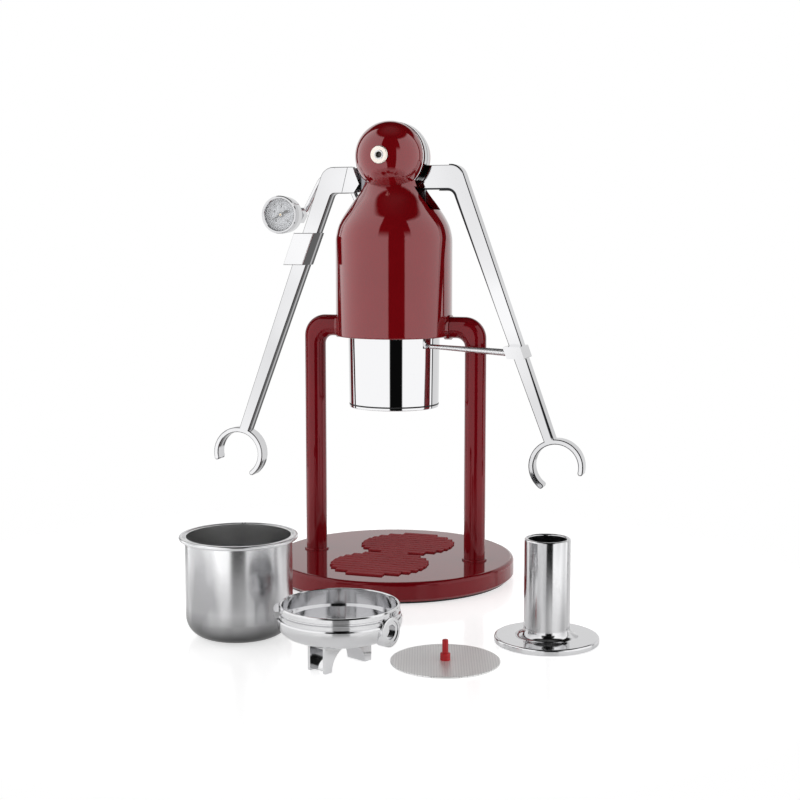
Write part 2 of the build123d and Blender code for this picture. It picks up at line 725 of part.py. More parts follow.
# Piston shell, base, seal and screw
shell_low = PISTON_LOW + PISTON_FLANGE_H
roof_low = PISTON_TOP - PISTON_ROOF


def piston_radius(height):
    """Outer radius of the slightly tapered shell."""
    share = (height - shell_low) / (PISTON_TOP - shell_low)
    return PISTON_LOW_R + share * (PISTON_TOP_R - PISTON_LOW_R)


shell = turned(
    path(
        [
            (ROD_R + RUN_FIT, PISTON_TOP),
            (PISTON_TOP_R, PISTON_TOP),
            (PISTON_LOW_R, shell_low),
            (PISTON_LOW_R - PISTON_WALL, shell_low),
            (piston_radius(roof_low) - PISTON_WALL, roof_low),
            (ROD_R + RUN_FIT, roof_low),
            (ROD_R + RUN_FIT, PISTON_TOP),
        ]
    )
)
top_rim = shell.edges().group_by(Axis.Z)[-1].sort_by(SortBy.LENGTH)[-1]
shell = fillet(top_rim, 1.0)
shell -= ring(SEAL_IN_R, PISTON_TOP_R + 1, SEAL_LOW, SEAL_LOW + SEAL_H)
save(shell, "piston_shell")

SEAL_ROUND = 0.2
seal_top = SEAL_LOW + SEAL_H - RUN_FIT
seal = ring(SEAL_IN_R + RUN_FIT, SEAL_OUT_R, SEAL_LOW + RUN_FIT, seal_top)
seal = fillet(seal.edges().filter_by(GeomType.CIRCLE).sort_by(SortBy.LENGTH)[-2:], SEAL_ROUND)
save(seal, "piston_seal")

BASE_FLANGE_R = PISTON_LOW_R - 0.2
BASE_FLANGE_ROUND = 0.3
PISTON_HEAD_R = 5.0
PISTON_HEAD_H = 2.2
foot = upright(BASE_FLANGE_R, PISTON_LOW, shell_low)
foot = fillet(foot.edges().group_by(Axis.Z)[0], BASE_FLANGE_ROUND)
foot += upright(PISTON_LOW_R - PISTON_WALL - RUN_FIT, shell_low, PISTON_BASE_TOP)
foot -= upright(SMALL_SCREW_R + RUN_FIT, PISTON_LOW, PISTON_BASE_TOP)
foot -= upright(PISTON_HEAD_R + SCREW_HEAD_GAP, PISTON_LOW, PISTON_LOW + PISTON_HEAD_H)
save(foot, "piston_base")
seat = PISTON_LOW + PISTON_HEAD_H
save(cap_screw(SMALL_SCREW_R, PISTON_HEAD_R, seat, PISTON_LOW + 0.2, BASE_SCREW_END), "piston_screw")


# Clip on the left lever: a channel whose sides run along the bar
def lever_x(height, side):
    """Distance of one bar edge from the middle of the press at a height."""
    return bar_edge_at(height, side)[0]


CLIP_FIT = 0.02
inner_top = lever_x(CLIP_TOP, -1)
inner_low = lever_x(CLIP_LOW, -1)
outer_top = lever_x(CLIP_TOP, 1)
outer_low = lever_x(CLIP_LOW, 1)
skin = CLIP_SKIN * 0.7
lean = lever_x(CLIP_LOW, 0) - lever_x(CLIP_TOP, 0)
clip_outline = [
    (-CLIP_OUTER_X, CLIP_TOP),
    (-inner_top + skin, CLIP_TOP),
    (-inner_low + skin, CLIP_LOW),
    (-CLIP_OUTER_X - lean, CLIP_LOW),
]
bar_outline = [
    (-outer_top - CLIP_FIT, CLIP_TOP),
    (-inner_top + CLIP_FIT, CLIP_TOP),
    (-inner_low + CLIP_FIT, CLIP_LOW),
    (-outer_low - CLIP_FIT, CLIP_LOW),
]
clip = prism(clip_outline, CLIP_FRONT_Y, -HUB_IN_Y)
clip = fillet(clip.faces().sort_by(Axis.Y)[0].edges(), 0.8)
clip -= prism(bar_outline, -BAR_OUT_Y, -HUB_IN_Y)
hollow_outline = [
    (-outer_top, CLIP_TOP + 1),
    (-inner_top - skin, CLIP_TOP + 1),
    (-inner_low - skin, CLIP_LOW - 1),
    (-outer_low, CLIP_LOW - 1),
]
clip -= prism(hollow_outline, CLIP_FRONT_Y + CLIP_SKIN, -BAR_OUT_Y - CLIP_SKIN)
save(clip, "arm_clip")

# Stay collar and tapered stay rod on the right lever
high = STAY_Z + STAY_COLLAR_H / 2
low = STAY_Z - STAY_COLLAR_H / 2
collar_outline = [
    (lever_x(high, -1) - STAY_WALL, high),
    (lever_x(high, 1) + STAY_WALL, high),
    (lever_x(low, 1) + STAY_WALL, low),
    (lever_x(low, -1) - STAY_WALL, low),
]
hole_outline = [
    (lever_x(high, -1) - CLIP_FIT, high),
    (lever_x(high, 1) + CLIP_FIT, high),
    (lever_x(low, 1) + CLIP_FIT, low),
    (lever_x(low, -1) - CLIP_FIT, low),
]
stay_collar = prism(collar_outline, STAY_LOBE_Y, BAR_OUT_Y + STAY_WALL)
stay_collar = fillet(stay_collar.edges().filter_by(Axis.Y), 0.6)
stay_collar -= prism(hole_outline, HUB_IN_Y - CLIP_FIT, BAR_OUT_Y + CLIP_FIT)


def tapered(start, start_r, end, end_r):
    """Cone from one point to another, with a rounded tip."""
    axis = Vector(*end) - Vector(*start)
    plane = Plane(origin=start, z_dir=axis)
    return Solid.make_cone(start_r, end_r, axis.length, plane) + Pos(*end) * Sphere(end_r)


rod_plane = Plane(origin=STAY_ROOT, z_dir=Vector(*STAY_TIP) - Vector(*STAY_ROOT))
stay_collar -= rod_plane * Cylinder(STAY_ROOT_R + RUN_FIT, STAY_SOCKET_LEN, align=BOTTOM)
save(stay_collar, "stay_collar")
save(tapered(STAY_ROOT, STAY_ROOT_R, STAY_TIP, STAY_TIP_R), "stay_rod")


def gauge_turned(points):
    """Solid of revolution about the gauge axis, from (radius, depth y) points."""
    solid = turned(path(points + [points[0]]))
    return Pos(GAUGE_X, 0, GAUGE_Z) * Rot(-90, 0, 0) * solid


# Gauge case, bezel, lens, dial, movement and needle
case_in = CASE_R - CASE_WALL
case_open_y = GAUGE_FACE_Y + BEZEL_DEPTH
case = gauge_turned(
    [
        (case_in, case_open_y),
        (CASE_R, case_open_y),
        (CASE_R, CASE_CONE_Y),
        (CASE_BACK_R, CASE_BACK_Y),
        (STEM_R, CASE_BACK_Y),
        (STEM_R, CASE_BACK_Y - CASE_WALL),
        (CASE_BACK_R - CASE_WALL, CASE_BACK_Y - CASE_WALL),
        (case_in, CASE_CONE_Y - CASE_WALL / 2),
    ]
)
save(case, "gauge_case")

bezel = gauge_turned(
    [
        (BEZEL_WINDOW_R, GAUGE_FACE_Y + 0.4),
        (BEZEL_WINDOW_R + 0.4, GAUGE_FACE_Y),
        (GAUGE_R - 0.6, GAUGE_FACE_Y),
        (GAUGE_R, GAUGE_FACE_Y + 0.6),
        (GAUGE_R, case_open_y),
        (case_in + 0.1, case_open_y),
        (case_in + 0.1, LENS_Y),
        (BEZEL_WINDOW_R, LENS_Y),
    ]
)
save(bezel, "gauge_bezel")

lens = along_y(case_in, LENS_Y, LENS_Y + LENS_H, GAUGE_X, GAUGE_Z)
save(lens, "gauge_lens")

dial_r = case_in
dial = along_y(dial_r, DIAL_Y, DIAL_Y + DIAL_H, GAUGE_X, GAUGE_Z)
dial -= along_y(NEEDLE_PIN_R + 0.3, DIAL_Y, DIAL_Y + DIAL_H, GAUGE_X, GAUGE_Z)
save(dial, "gauge_dial")

movement_front = DIAL_Y + DIAL_H
PIN_FRONT_Y = 4.0
movement = along_y(6.0, movement_front, CASE_BACK_Y - CASE_WALL, GAUGE_X, GAUGE_Z)
movement += along_y(NEEDLE_PIN_R, PIN_FRONT_Y, movement_front, GAUGE_X, GAUGE_Z)
save(movement, "gauge_movement")

POINTER_LEN = 8.2
TAIL_LEN = 4.6
HUB_CAP_R = 1.6
pointer = make_face(
    Polyline(
        (-TAIL_LEN, -0.7),
        (-0.5, -0.45),
        (POINTER_LEN, -0.12),
        (POINTER_LEN, 0.12),
        (-0.5, 0.45),
        (-TAIL_LEN, 0.7),
        close=True,
    )
)
needle_face = pointer + Circle(HUB_CAP_R) + Pos(-TAIL_LEN, 0) * Circle(1.0)
needle_face -= Circle(NEEDLE_PIN_R + RUN_FIT)
needle_face = Pos(GAUGE_X, GAUGE_Z) * Rot(0, 0, NEEDLE_ANGLE_DEG) * needle_face
save(plate_at(needle_face, NEEDLE_Y, NEEDLE_Y + NEEDLE_H), "gauge_needle")

# Stem, nut, tube and the fitting on the crossbar
stem = along_y(STEM_R, CASE_BACK_Y - CASE_WALL, NUT_LOW_Y + 1, GAUGE_X, GAUGE_Z)
save(stem, "gauge_stem")

nut_face = RegularPolygon(NUT_ACROSS / 2, 6, major_radius=False)
nut = plate_at(Pos(GAUGE_X, GAUGE_Z) * nut_face, NUT_LOW_Y, NUT_HIGH_Y)
nut -= along_y(STEM_R, NUT_LOW_Y, NUT_LOW_Y + 1, GAUGE_X, GAUGE_Z)
nut -= along_y(TUBE_R + RUN_FIT, NUT_LOW_Y + 1, NUT_HIGH_Y, GAUGE_X, GAUGE_Z)
save(nut, "gauge_nut")

tube_points = [
    (GAUGE_X, NUT_LOW_Y + 1, GAUGE_Z),
    (GAUGE_X, TUBE_BACK_Y, GAUGE_Z),
    *TUBE_CORNERS,
    (TUBE_X, TUBE_Y, TUBE_LAST_Z),
    (TUBE_X, TUBE_Y, CROSS_LOW + FITTING_SEAT),
]
tube_line = FilletPolyline(*tube_points, radius=TUBE_BENDS)
tube = sweep(Plane(origin=tube_points[0], z_dir=(0, 1, 0)) * Circle(TUBE_R), path=tube_line)
save(tube, "gauge_tube")

FITTING_R = 2.95
fitting = ring(TUBE_R + RUN_FIT, FITTING_R, CROSS_TOP, CROSS_TOP + 5)
save(Pos(TUBE_X, TUBE_Y, 0) * fitting, "tube_fitting")

# Basket: deep thin cup with a rolled rim and a drilled floor
out_r = BASKET_IN_R + BASKET_WALL
in_corner = BASKET_CORNER - BASKET_WALL
bead_r = BASKET_RIM_R - BASKET_BEAD_R
bead_z = BASKET_H - BASKET_BEAD_R


def corner_arc(radius, corner, low):
    """Quarter circle from the floor of a cup up to its wall, in the XZ plane."""
    start = (radius - corner, 0, low)
    end = (radius, 0, low + corner)
    turn = corner * (1 - math.sqrt(0.5))
    return ThreePointArc(start, (radius - turn, 0, low + turn), end)


basket = turned(
    [
        path([(0, 0), (out_r - BASKET_CORNER, 0)]),
        corner_arc(out_r, BASKET_CORNER, 0),
        path([(out_r, BASKET_CORNER), (out_r, bead_z)]),
        path([(out_r, bead_z), (BASKET_IN_R, bead_z), (BASKET_IN_R, BASKET_WALL + in_corner)]),
        corner_arc(BASKET_IN_R, in_corner, BASKET_WALL),
        path([(BASKET_IN_R - in_corner, BASKET_WALL), (0, BASKET_WALL), (0, 0)]),
    ]
)
LIP_H = 0.4
basket += ring(BASKET_IN_R, bead_r, bead_z - LIP_H, bead_z + LIP_H)
basket += Pos(0, 0, bead_z) * Torus(bead_r, BASKET_BEAD_R)
for row, count in ((0, 1), (1, 6), (2, 12)):
    for i in range(count):
        angle = 2 * math.pi * i / count
        x = 6.5 * row * math.cos(angle)
        y = 6.5 * row * math.sin(angle)
        basket -= upright(BASKET_HOLE_R, -1, BASKET_WALL + 1, x, y)
save(Pos(BASKET_X, BASKET_Y, 0) * basket, "basket")

# Holder: bottom plate, and the bowl wall with its stepped rim, basket bore and well
NIPPLE_R = 5.0
BOTTOM_R = 29.3
BOTTOM_ARC_MIDDLE = (24.9, 0, 16.4)
bottom = turned(
    [
        path([(0, HOLDER_UNDER), (HOLDER_FLAT_R, HOLDER_UNDER)]),
        ThreePointArc((HOLDER_FLAT_R, 0, HOLDER_UNDER), BOTTOM_ARC_MIDDLE, (BOTTOM_R, 0, HOLDER_FLOOR)),
        path([(BOTTOM_R, HOLDER_FLOOR), (0, HOLDER_FLOOR), (0, HOLDER_UNDER)]),
    ]
)
bottom -= upright(NIPPLE_R + RUN_FIT, HOLDER_UNDER, HOLDER_FLOOR)
bottom -= upright(NIPPLE_FLANGE_R + RUN_FIT, HOLDER_FLOOR - NIPPLE_FLANGE_H, HOLDER_FLOOR)
save(Pos(HOLDER_X, HOLDER_Y, 0) * bottom, "portafilter_floor")

NECK_GROOVE_R = 32.7
BOWL_LOW_R = 29.5
bowl = turned(
    [
        path([(HOLDER_WELL_R, HOLDER_FLOOR), (BOWL_LOW_R, HOLDER_FLOOR)]),
        Spline(
            (BOWL_LOW_R, 0, HOLDER_FLOOR),
            (33.6, 0, 22.4),
            (HOLDER_BULGE_R, 0, 26.0),
            tangents=[(1, 0, 0.7), (0, 0, 1)],
        ),
        path(
            [
                (HOLDER_BULGE_R, 26.0),
                (HOLDER_BULGE_R, 27.2),
                (HOLDER_BULGE_R - 0.5, 27.9),
                (NECK_GROOVE_R, 27.9),
                (NECK_GROOVE_R, 28.8),
                (HOLDER_RIM_R + 0.4, 28.8),
                (HOLDER_RIM_R + 0.4, 30.4),
                (NECK_GROOVE_R, 30.8),
                (NECK_GROOVE_R, 31.4),
                (HOLDER_RIM_R, 31.8),
                (HOLDER_RIM_R, HOLDER_H - 0.7),
                (HOLDER_RIM_R - 0.6, HOLDER_H),
                (HOLDER_IN_R + 0.3, HOLDER_H),
                (HOLDER_IN_R, HOLDER_H - 0.3),
                (HOLDER_IN_R, HOLDER_LEDGE),
                (HOLDER_WELL_R, HOLDER_LEDGE),
                (HOLDER_WELL_R, HOLDER_FLOOR),
            ]
        ),
    ]
)

# Two lugs under the rim, and the boss for the handle, set out along its own axis
LUG_R = 36.0
lug_ring = ring(HOLDER_RIM_R - 0.4, LUG_R, 28.8, 32.4)
for turn in (100, 200):
    angle = math.radians(turn)
    cutter = block(0, 60, -8.5, 8.5, 20, 40)
    bowl += lug_ring & (Rot(0, 0, turn) * cutter)
handle_place = Rot(0, 0, HANDLE_TURN_DEG) * Pos(0, 0, HANDLE_BOSS_Z)
boss = along_x(HANDLE_BOSS_R, HANDLE_BOSS_START, HANDLE_BOSS_END)
boss = fillet(boss.faces().sort_by(Axis.X)[-1].edges(), 0.6)
recess_x = HANDLE_BOSS_END - HANDLE_RECESS_DEPTH
boss_room = upright(HOLDER_IN_R, HOLDER_LEDGE, 2 * HOLDER_H)
bowl += handle_place * boss - boss_room
bowl -= handle_place * along_x(HANDLE_RECESS_R, recess_x, HANDLE_BOSS_END + 1)
save(Pos(HOLDER_X, HOLDER_Y, 0) * bowl, "portafilter_body")

# Plain bush in the recess of the handle boss
insert = along_x(HANDLE_RECESS_R - RUN_FIT, recess_x, recess_x + HANDLE_INSERT_H)
insert -= along_x(HANDLE_SOCKET_R, recess_x, recess_x + HANDLE_INSERT_H)
save(Pos(HOLDER_X, HOLDER_Y, 0) * handle_place * insert, "boss_insert")

# Spout: an arch with an open channel down each end
spout = block(-SPOUT_HALF_W, SPOUT_HALF_W, -SPOUT_HALF_LEN, SPOUT_HALF_LEN, 0, HOLDER_UNDER)
spout -= along_x(SPOUT_ARCH_R, -SPOUT_HALF_W, SPOUT_HALF_W, 0, SPOUT_ARCH_Z)
channel_half = SPOUT_HALF_W - SPOUT_WALL
channel_top = HOLDER_UNDER - SPOUT_WALL
channel = block(-channel_half, channel_half, -SPOUT_HALF_LEN, SPOUT_HALF_LEN, 0, channel_top)
channel -= along_x(SPOUT_ARCH_R + SPOUT_WALL, -channel_half, channel_half, 0, SPOUT_ARCH_Z)
spout -= channel
spout -= upright(DRAIN_R, 0, HOLDER_UNDER)
spout_place = Pos(HOLDER_X, HOLDER_Y, 0) * Rot(0, 0, SPOUT_TURN_DEG)
save(spout_place * spout, "portafilter_spout")

# Hollow bush that joins the bowl to the spout, its flange level with the floor of the well
nipple = upright(NIPPLE_R, HOLDER_UNDER, HOLDER_FLOOR)
nipple += upright(NIPPLE_FLANGE_R, HOLDER_FLOOR - NIPPLE_FLANGE_H, HOLDER_FLOOR)
nipple -= upright(DRAIN_R, HOLDER_UNDER, HOLDER_FLOOR)
save(Pos(HOLDER_X, HOLDER_Y, 0) * nipple, "spout_bush")

# Dispersion screen with its stem and rivet
screen = upright(SCREEN_R, 0, SCREEN_H)
screen = fillet(screen.edges(), 0.35)
screen -= upright(RIVET_R + RUN_FIT, 0, SCREEN_H)
screen -= upright(RIVET_HEAD_R + RUN_FIT, 0, RIVET_HEAD_H)
save(Pos(SCREEN_X, SCREEN_Y, 0) * screen, "screen_disc")

RIVET_TOP = 6.0
stem = upright(STEM_COLLAR_R, SCREEN_H, STEM_COLLAR_TOP)
stem = fillet(stem.edges().group_by(Axis.Z)[-1], 0.6)
stem += upright(STEM_TIP_R, SCREEN_H, STEM_TOP)
stem = fillet(stem.edges().group_by(Axis.Z)[-1], 0.6)
stem -= upright(RIVET_R + RUN_FIT, SCREEN_H, RIVET_TOP + 0.5)
save(Pos(SCREEN_X, SCREEN_Y, 0) * stem, "screen_stem")

rivet = upright(RIVET_HEAD_R, 0, RIVET_HEAD_H) + upright(RIVET_R, 0, RIVET_TOP)
save(Pos(SCREEN_X, SCREEN_Y, 0) * rivet, "screen_rivet")

# Tamper: solid base with a plug, and the hollow grip that stands on it
tamper_base = upright(TAMPER_R, 0, TAMPER_BASE_H)
tamper_base = fillet(tamper_base.edges().group_by(Axis.Z)[-1], 1.2)
tamper_base = fillet(tamper_base.edges().group_by(Axis.Z)[0], 0.5)
tamper_base += upright(TAMPER_SOCKET_R - RUN_FIT, TAMPER_BASE_H, TAMPER_PLUG_TOP)
save(Pos(TAMPER_X, TAMPER_Y, 0) * tamper_base, "tamper_base")

foot_turn = TAMPER_FOOT * (1 - math.sqrt(0.5))
grip = turned(
    [
        path([(TAMPER_SOCKET_R, TAMPER_BASE_H), (TAMPER_TUBE_R + TAMPER_FOOT, TAMPER_BASE_H)]),
        ThreePointArc(
            (TAMPER_TUBE_R + TAMPER_FOOT, 0, TAMPER_BASE_H),
            (TAMPER_TUBE_R + foot_turn, 0, TAMPER_BASE_H + foot_turn),
            (TAMPER_TUBE_R, 0, TAMPER_BASE_H + TAMPER_FOOT),
        ),
        path(
            [
                (TAMPER_TUBE_R, TAMPER_BASE_H + TAMPER_FOOT),
                (TAMPER_TUBE_R, TAMPER_H),
                (TAMPER_BORE_R, TAMPER_H),
                (TAMPER_BORE_R, TAMPER_PLUG_TOP + SCREW_HEAD_GAP),
                (TAMPER_SOCKET_R, TAMPER_PLUG_TOP + SCREW_HEAD_GAP),
                (TAMPER_SOCKET_R, TAMPER_BASE_H),
            ]
        ),
    ]
)
grip = fillet(grip.edges().group_by(Axis.Z)[-1], 0.9)
save(Pos(TAMPER_X, TAMPER_Y, 0) * grip, "tamper_tube")
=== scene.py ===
import math

import bpy
from mathutils import Matrix


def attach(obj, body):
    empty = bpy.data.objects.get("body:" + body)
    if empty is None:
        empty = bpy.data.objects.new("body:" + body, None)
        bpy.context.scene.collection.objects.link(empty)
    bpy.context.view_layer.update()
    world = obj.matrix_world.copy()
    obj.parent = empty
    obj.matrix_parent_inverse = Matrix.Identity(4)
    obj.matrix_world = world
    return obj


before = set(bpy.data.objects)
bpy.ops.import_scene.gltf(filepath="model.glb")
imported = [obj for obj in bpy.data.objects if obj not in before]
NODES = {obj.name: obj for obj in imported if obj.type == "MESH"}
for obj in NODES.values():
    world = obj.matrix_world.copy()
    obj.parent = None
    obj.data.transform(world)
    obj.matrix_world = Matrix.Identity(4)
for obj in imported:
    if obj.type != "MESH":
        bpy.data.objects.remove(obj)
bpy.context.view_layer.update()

MM = 0.001

# Places of the CAD model in millimetres that materials and added pieces follow
HEAD_Z = 285.8
BASKET_X, BASKET_Y, BASKET_TOP = -41.5, -166.0, 59.6
GAUGE_X, GAUGE_Z = -84.6, HEAD_Z - 38.0
DIAL_FRONT = 5.9

# Where most values of a noise lie
NOISE_SPAN = (0.3, 0.7)


# Node helpers
def feed(tree, socket, value):
    """An input socket linked to an output socket, or set to a plain value."""
    if isinstance(value, bpy.types.NodeSocket):
        tree.links.new(value, socket)
    else:
        socket.default_value = value


def add(tree, kind, inputs=None, **properties):
    """A node with its properties set and its input sockets fed."""
    node = tree.nodes.new(kind)
    for key, value in properties.items():
        setattr(node, key, value)
    for key, value in (inputs or {}).items():
        feed(tree, node.inputs[key], value)
    return node


def fresh(name, inputs=None):
    """A new material whose tree holds its output and a principled shader."""
    mat = bpy.data.materials.new(name)
    mat.use_nodes = True
    tree = mat.node_tree
    tree.nodes.clear()
    out = tree.nodes.new("ShaderNodeOutputMaterial")
    bsdf = add(tree, "ShaderNodeBsdfPrincipled", inputs)
    tree.links.new(bsdf.outputs["BSDF"], out.inputs["Surface"])
    return mat, tree, bsdf


def surface(tree):
    """The surface socket of a material's output."""
    return [n for n in tree.nodes if n.type == "OUTPUT_MATERIAL"][0].inputs["Surface"]


def place(tree, kind="Object"):
    """Texture coordinates of a kind."""
    return add(tree, "ShaderNodeTexCoord").outputs[kind]


def coords(tree, scale=(1, 1, 1), turn=0.0):
    """Object coordinates turned about Z and stretched."""
    inputs = {"Vector": place(tree), "Scale": scale, "Rotation": (0, 0, turn)}
    return add(tree, "ShaderNodeMapping", inputs).outputs["Vector"]


def split(tree, vector):
    """The X, Y and Z sockets of a vector."""
    return add(tree, "ShaderNodeSeparateXYZ", {0: vector}).outputs


def noise(tree, vector, scale, detail=3.0, rough=0.5):
    inputs = {"Vector": vector, "Scale": scale, "Detail": detail, "Roughness": rough}
    return add(tree, "ShaderNodeTexNoise", inputs).outputs["Fac"]


def remap(tree, value, low, high, first=0.0, last=1.0, kind="LINEAR"):
    """A value carried from one range to another and held at its ends."""
    inputs = {"Value": value, "From Min": low, "From Max": high, "To Min": first, "To Max": last}
    return add(tree, "ShaderNodeMapRange", inputs, interpolation_type=kind).outputs["Result"]


def fall(tree, value, low, high):
    """1 below a range, 0 above it."""
    return remap(tree, value, low, high, 1.0, 0.0)


def maths(tree, operation, *values):
    return add(tree, "ShaderNodeMath", dict(enumerate(values)), operation=operation).outputs[0]


def product(tree, value, *others):
    for other in others:
        value = maths(tree, "MULTIPLY", value, other)
    return value


def largest(tree, value, *others):
    for other in others:
        value = maths(tree, "MAXIMUM", value, other)
    return value


def vectors(tree, operation, *values):
    """A vector maths node."""
    return add(tree, "ShaderNodeVectorMath", dict(enumerate(values)), operation=operation)


def axis_distance(tree, centre, across):
    """Distance in metres from an axis through a centre; across leaves its direction out."""
    shift = vectors(tree, "SUBTRACT", place(tree), centre).outputs[0]
    flat = vectors(tree, "MULTIPLY", shift, across).outputs[0]
    return vectors(tree, "LENGTH", flat).outputs["Value"]


def mixed(tree, factor, first, second):
    """Two colours mixed by a factor socket."""
    node = add(tree, "ShaderNodeMix", {"Factor": factor}, data_type="RGBA")
    for name, value in (("A", first), ("B", second)):
        feed(tree, [s for s in node.inputs if s.name == name and s.type == "RGBA"][0], value)
    return [s for s in node.outputs if s.type == "RGBA"][0]


def bump(tree, bsdf, height, strength, distance=0.0001):
    inputs = {"Height": height, "Strength": strength, "Distance": distance}
    node = add(tree, "ShaderNodeBump", inputs)
    tree.links.new(node.outputs["Normal"], bsdf.inputs["Normal"])


def gloss(tree, bsdf, grain, low, high):
    """Roughness that follows a grain between two values."""
    tree.links.new(remap(tree, grain, *NOISE_SPAN, low, high), bsdf.inputs["Roughness"])


def cool(value):
    """A grey with a trace of blue."""
    return (value, value, value + 0.01, 1)


# Materials
def red_enamel(name, ior, coat, deep, bright):
    """Deep red gloss powder coat: faint orange peel under a clear layer."""
    inputs = {
        "Roughness": 0.05,
        "IOR": ior,
        "Specular Tint": (1.0, 0.42, 0.46, 1),
        "Coat Weight": coat,
        "Coat IOR": 1.48,
        "Coat Roughness": 0.02,
    }
    mat, tree, bsdf = fresh(name, inputs)
    where = coords(tree)
    share = remap(tree, noise(tree, where, 40.0, 2.0), *NOISE_SPAN)
    tree.links.new(mixed(tree, share, deep, bright), bsdf.inputs["Base Color"])
    bump(tree, bsdf, noise(tree, where, 700.0, 2.0), 0.03)
    return mat


def steel(name, colour, rough, scale, stretch, grain):
    """Metal with drawn grain: noise stretched along the piece changes gloss and normal."""
    mat, tree, bsdf = fresh(name, {"Metallic": 1.0, "Base Color": colour})
    lines = noise(tree, coords(tree, stretch), scale, 4.0, 0.65)
    wide = noise(tree, coords(tree), 25.0)
    both = maths(tree, "MULTIPLY_ADD", wide, 0.35, maths(tree, "MULTIPLY", lines, 0.65))
    gloss(tree, bsdf, both, *rough)
    if grain:
        bump(tree, bsdf, lines, grain)
    return mat


def matt(name, colour, rough):
    """Rubber, silicone and matt coating with a fine tooth."""
    mat, tree, bsdf = fresh(name, {"Base Color": colour})
    spots = noise(tree, coords(tree), 900.0)
    gloss(tree, bsdf, spots, rough - 0.06, rough + 0.08)
    bump(tree, bsdf, spots, 0.12, 0.0002)
    return mat


def plain(name, colour, rough):
    """Print and small smooth parts."""
    mat, tree, bsdf = fresh(name, {"Base Color": colour})
    gloss(tree, bsdf, noise(tree, coords(tree), 300.0, 2.0), rough * 0.85, rough * 1.15)
    return mat


# Painted dark lines on the face of the right lever, in millimetres, standing in for dark
# reflections on its edges and shade round the stub. The bar leans by a tilt in degrees from an
# elbow and tapers, and two rounds (X, Z, radius) join it to the stub. INNER_LINE and OUTER_LINE
# say where along the bar a painted line starts and ends, and how wide it is at both places
BAR_TILT = 20.4
ELBOW_X, ELBOW_Z = 43.8, 270.3
BAR_HALF, BAR_TAPER = 5.55, 0.0114
BAR_START, BAR_END = (9.0, 10.0), (182.0, 184.0)
INNER_LINE = (0.0, 120.0, 2.0, 0.3)
OUTER_LINE = (70.0, 175.0, 0.0, 1.7)
THIN_LINE, WIDE_LINE = 1.2, 2.0
TOP_Z, TOP_END = 280.8, (39.0, 39.6)
LOW_Z, LOW_END = 263.2, (37.0, 38.5)
INNER_ROUND = (37.15, 258.2, 5.0)
OUTER_ROUND = (39.21, 271.3, 9.5)
OUTER_ROUND_START, OUTER_ROUND_END = (-0.2, 0.2), (-3.0, 0.0)
LINE_BLUR = 0.35
FRONT_NORMALS = (0.90, 0.97)


def line(tree, width, distance):
    """1 where a distance in millimetres is less than a width, with a narrow soft edge."""
    return remap(tree, maths(tree, "SUBTRACT", width, distance), 0.0, LINE_BLUR)


def far_lines(tree, vector, forward):
    """Painted dark lines, standing in for dark reflections and shade, on the face of the right
    lever:
    on the inner edge of the bar above, on its outer edge below, and round the stub and both sides
    of the elbow."""
    scaled = add(tree, "ShaderNodeVectorMath", {0: vector, "Scale": 1 / MM}, operation="SCALE")
    at = split(tree, scaled.outputs[0])
    sine, cosine = math.sin(math.radians(BAR_TILT)), math.cos(math.radians(BAR_TILT))

    def offset(x, z):
        """Offsets from a place in X and Z."""
        return maths(tree, "SUBTRACT", at["X"], x), maths(tree, "SUBTRACT", at["Z"], z)

    def along_bar(x, z):
        """Length down the bar of an offset."""
        return maths(tree, "MULTIPLY_ADD", z, -cosine, maths(tree, "MULTIPLY", x, sine))

    def reach(x, z):
        """Length of an offset."""
        square = maths(tree, "MULTIPLY", z, z)
        return maths(tree, "SQRT", maths(tree, "MULTIPLY_ADD", x, x, square))

    x, z = offset(ELBOW_X, ELBOW_Z)
    along = along_bar(x, z)
    across = maths(tree, "MULTIPLY_ADD", z, sine, maths(tree, "MULTIPLY", x, cosine))
    half = maths(tree, "MULTIPLY_ADD", along, -BAR_TAPER, BAR_HALF)
    inner = line(tree, remap(tree, along, *INNER_LINE), maths(tree, "ADD", half, across))
    outer = line(tree, remap(tree, along, *OUTER_LINE), maths(tree, "SUBTRACT", half, across))
    ends = product(tree, remap(tree, along, *BAR_START), fall(tree, along, *BAR_END))
    bar = product(tree, largest(tree, inner, outer), ends)

    top = line(tree, THIN_LINE, maths(tree, "SUBTRACT", TOP_Z, at["Z"]))
    top = product(tree, top, fall(tree, at["X"], *TOP_END))
    low = line(tree, WIDE_LINE, maths(tree, "SUBTRACT", at["Z"], LOW_Z))
    low = product(tree, low, fall(tree, at["X"], *LOW_END))

    depth = maths(tree, "SUBTRACT", reach(*offset(*INNER_ROUND[:2])), INNER_ROUND[2])
    inner_arc = line(tree, WIDE_LINE, depth)
    x, z = offset(*OUTER_ROUND[:2])
    outer_arc = line(tree, THIN_LINE, maths(tree, "SUBTRACT", OUTER_ROUND[2], reach(x, z)))
    past = fall(tree, along_bar(x, z), *OUTER_ROUND_END)
    outer_arc = product(tree, outer_arc, remap(tree, x, *OUTER_ROUND_START), past)

    lines = largest(tree, bar, top, low, inner_arc, outer_arc)
    return product(tree, lines, remap(tree, forward, *FRONT_NORMALS))


# Underside of the left arm: a painted pale highlight stripe in the middle of its depth, in metres.
# The normals say where the painted dark reflections on the rounded edges start and end, and which
# faces look down or to the side and get the painted dark reflection of the underside
STRIPE_DEPTH = 0.0055
STRIPE_HALF = (0.0011, 0.0017)
EDGE_FIRST_NORMALS, EDGE_LAST_NORMALS = (0.04, 0.12), (0.93, 0.985)
DOWN_NORMALS, SIDE_NORMALS = (-0.30, -0.20), (0.2, 0.6)


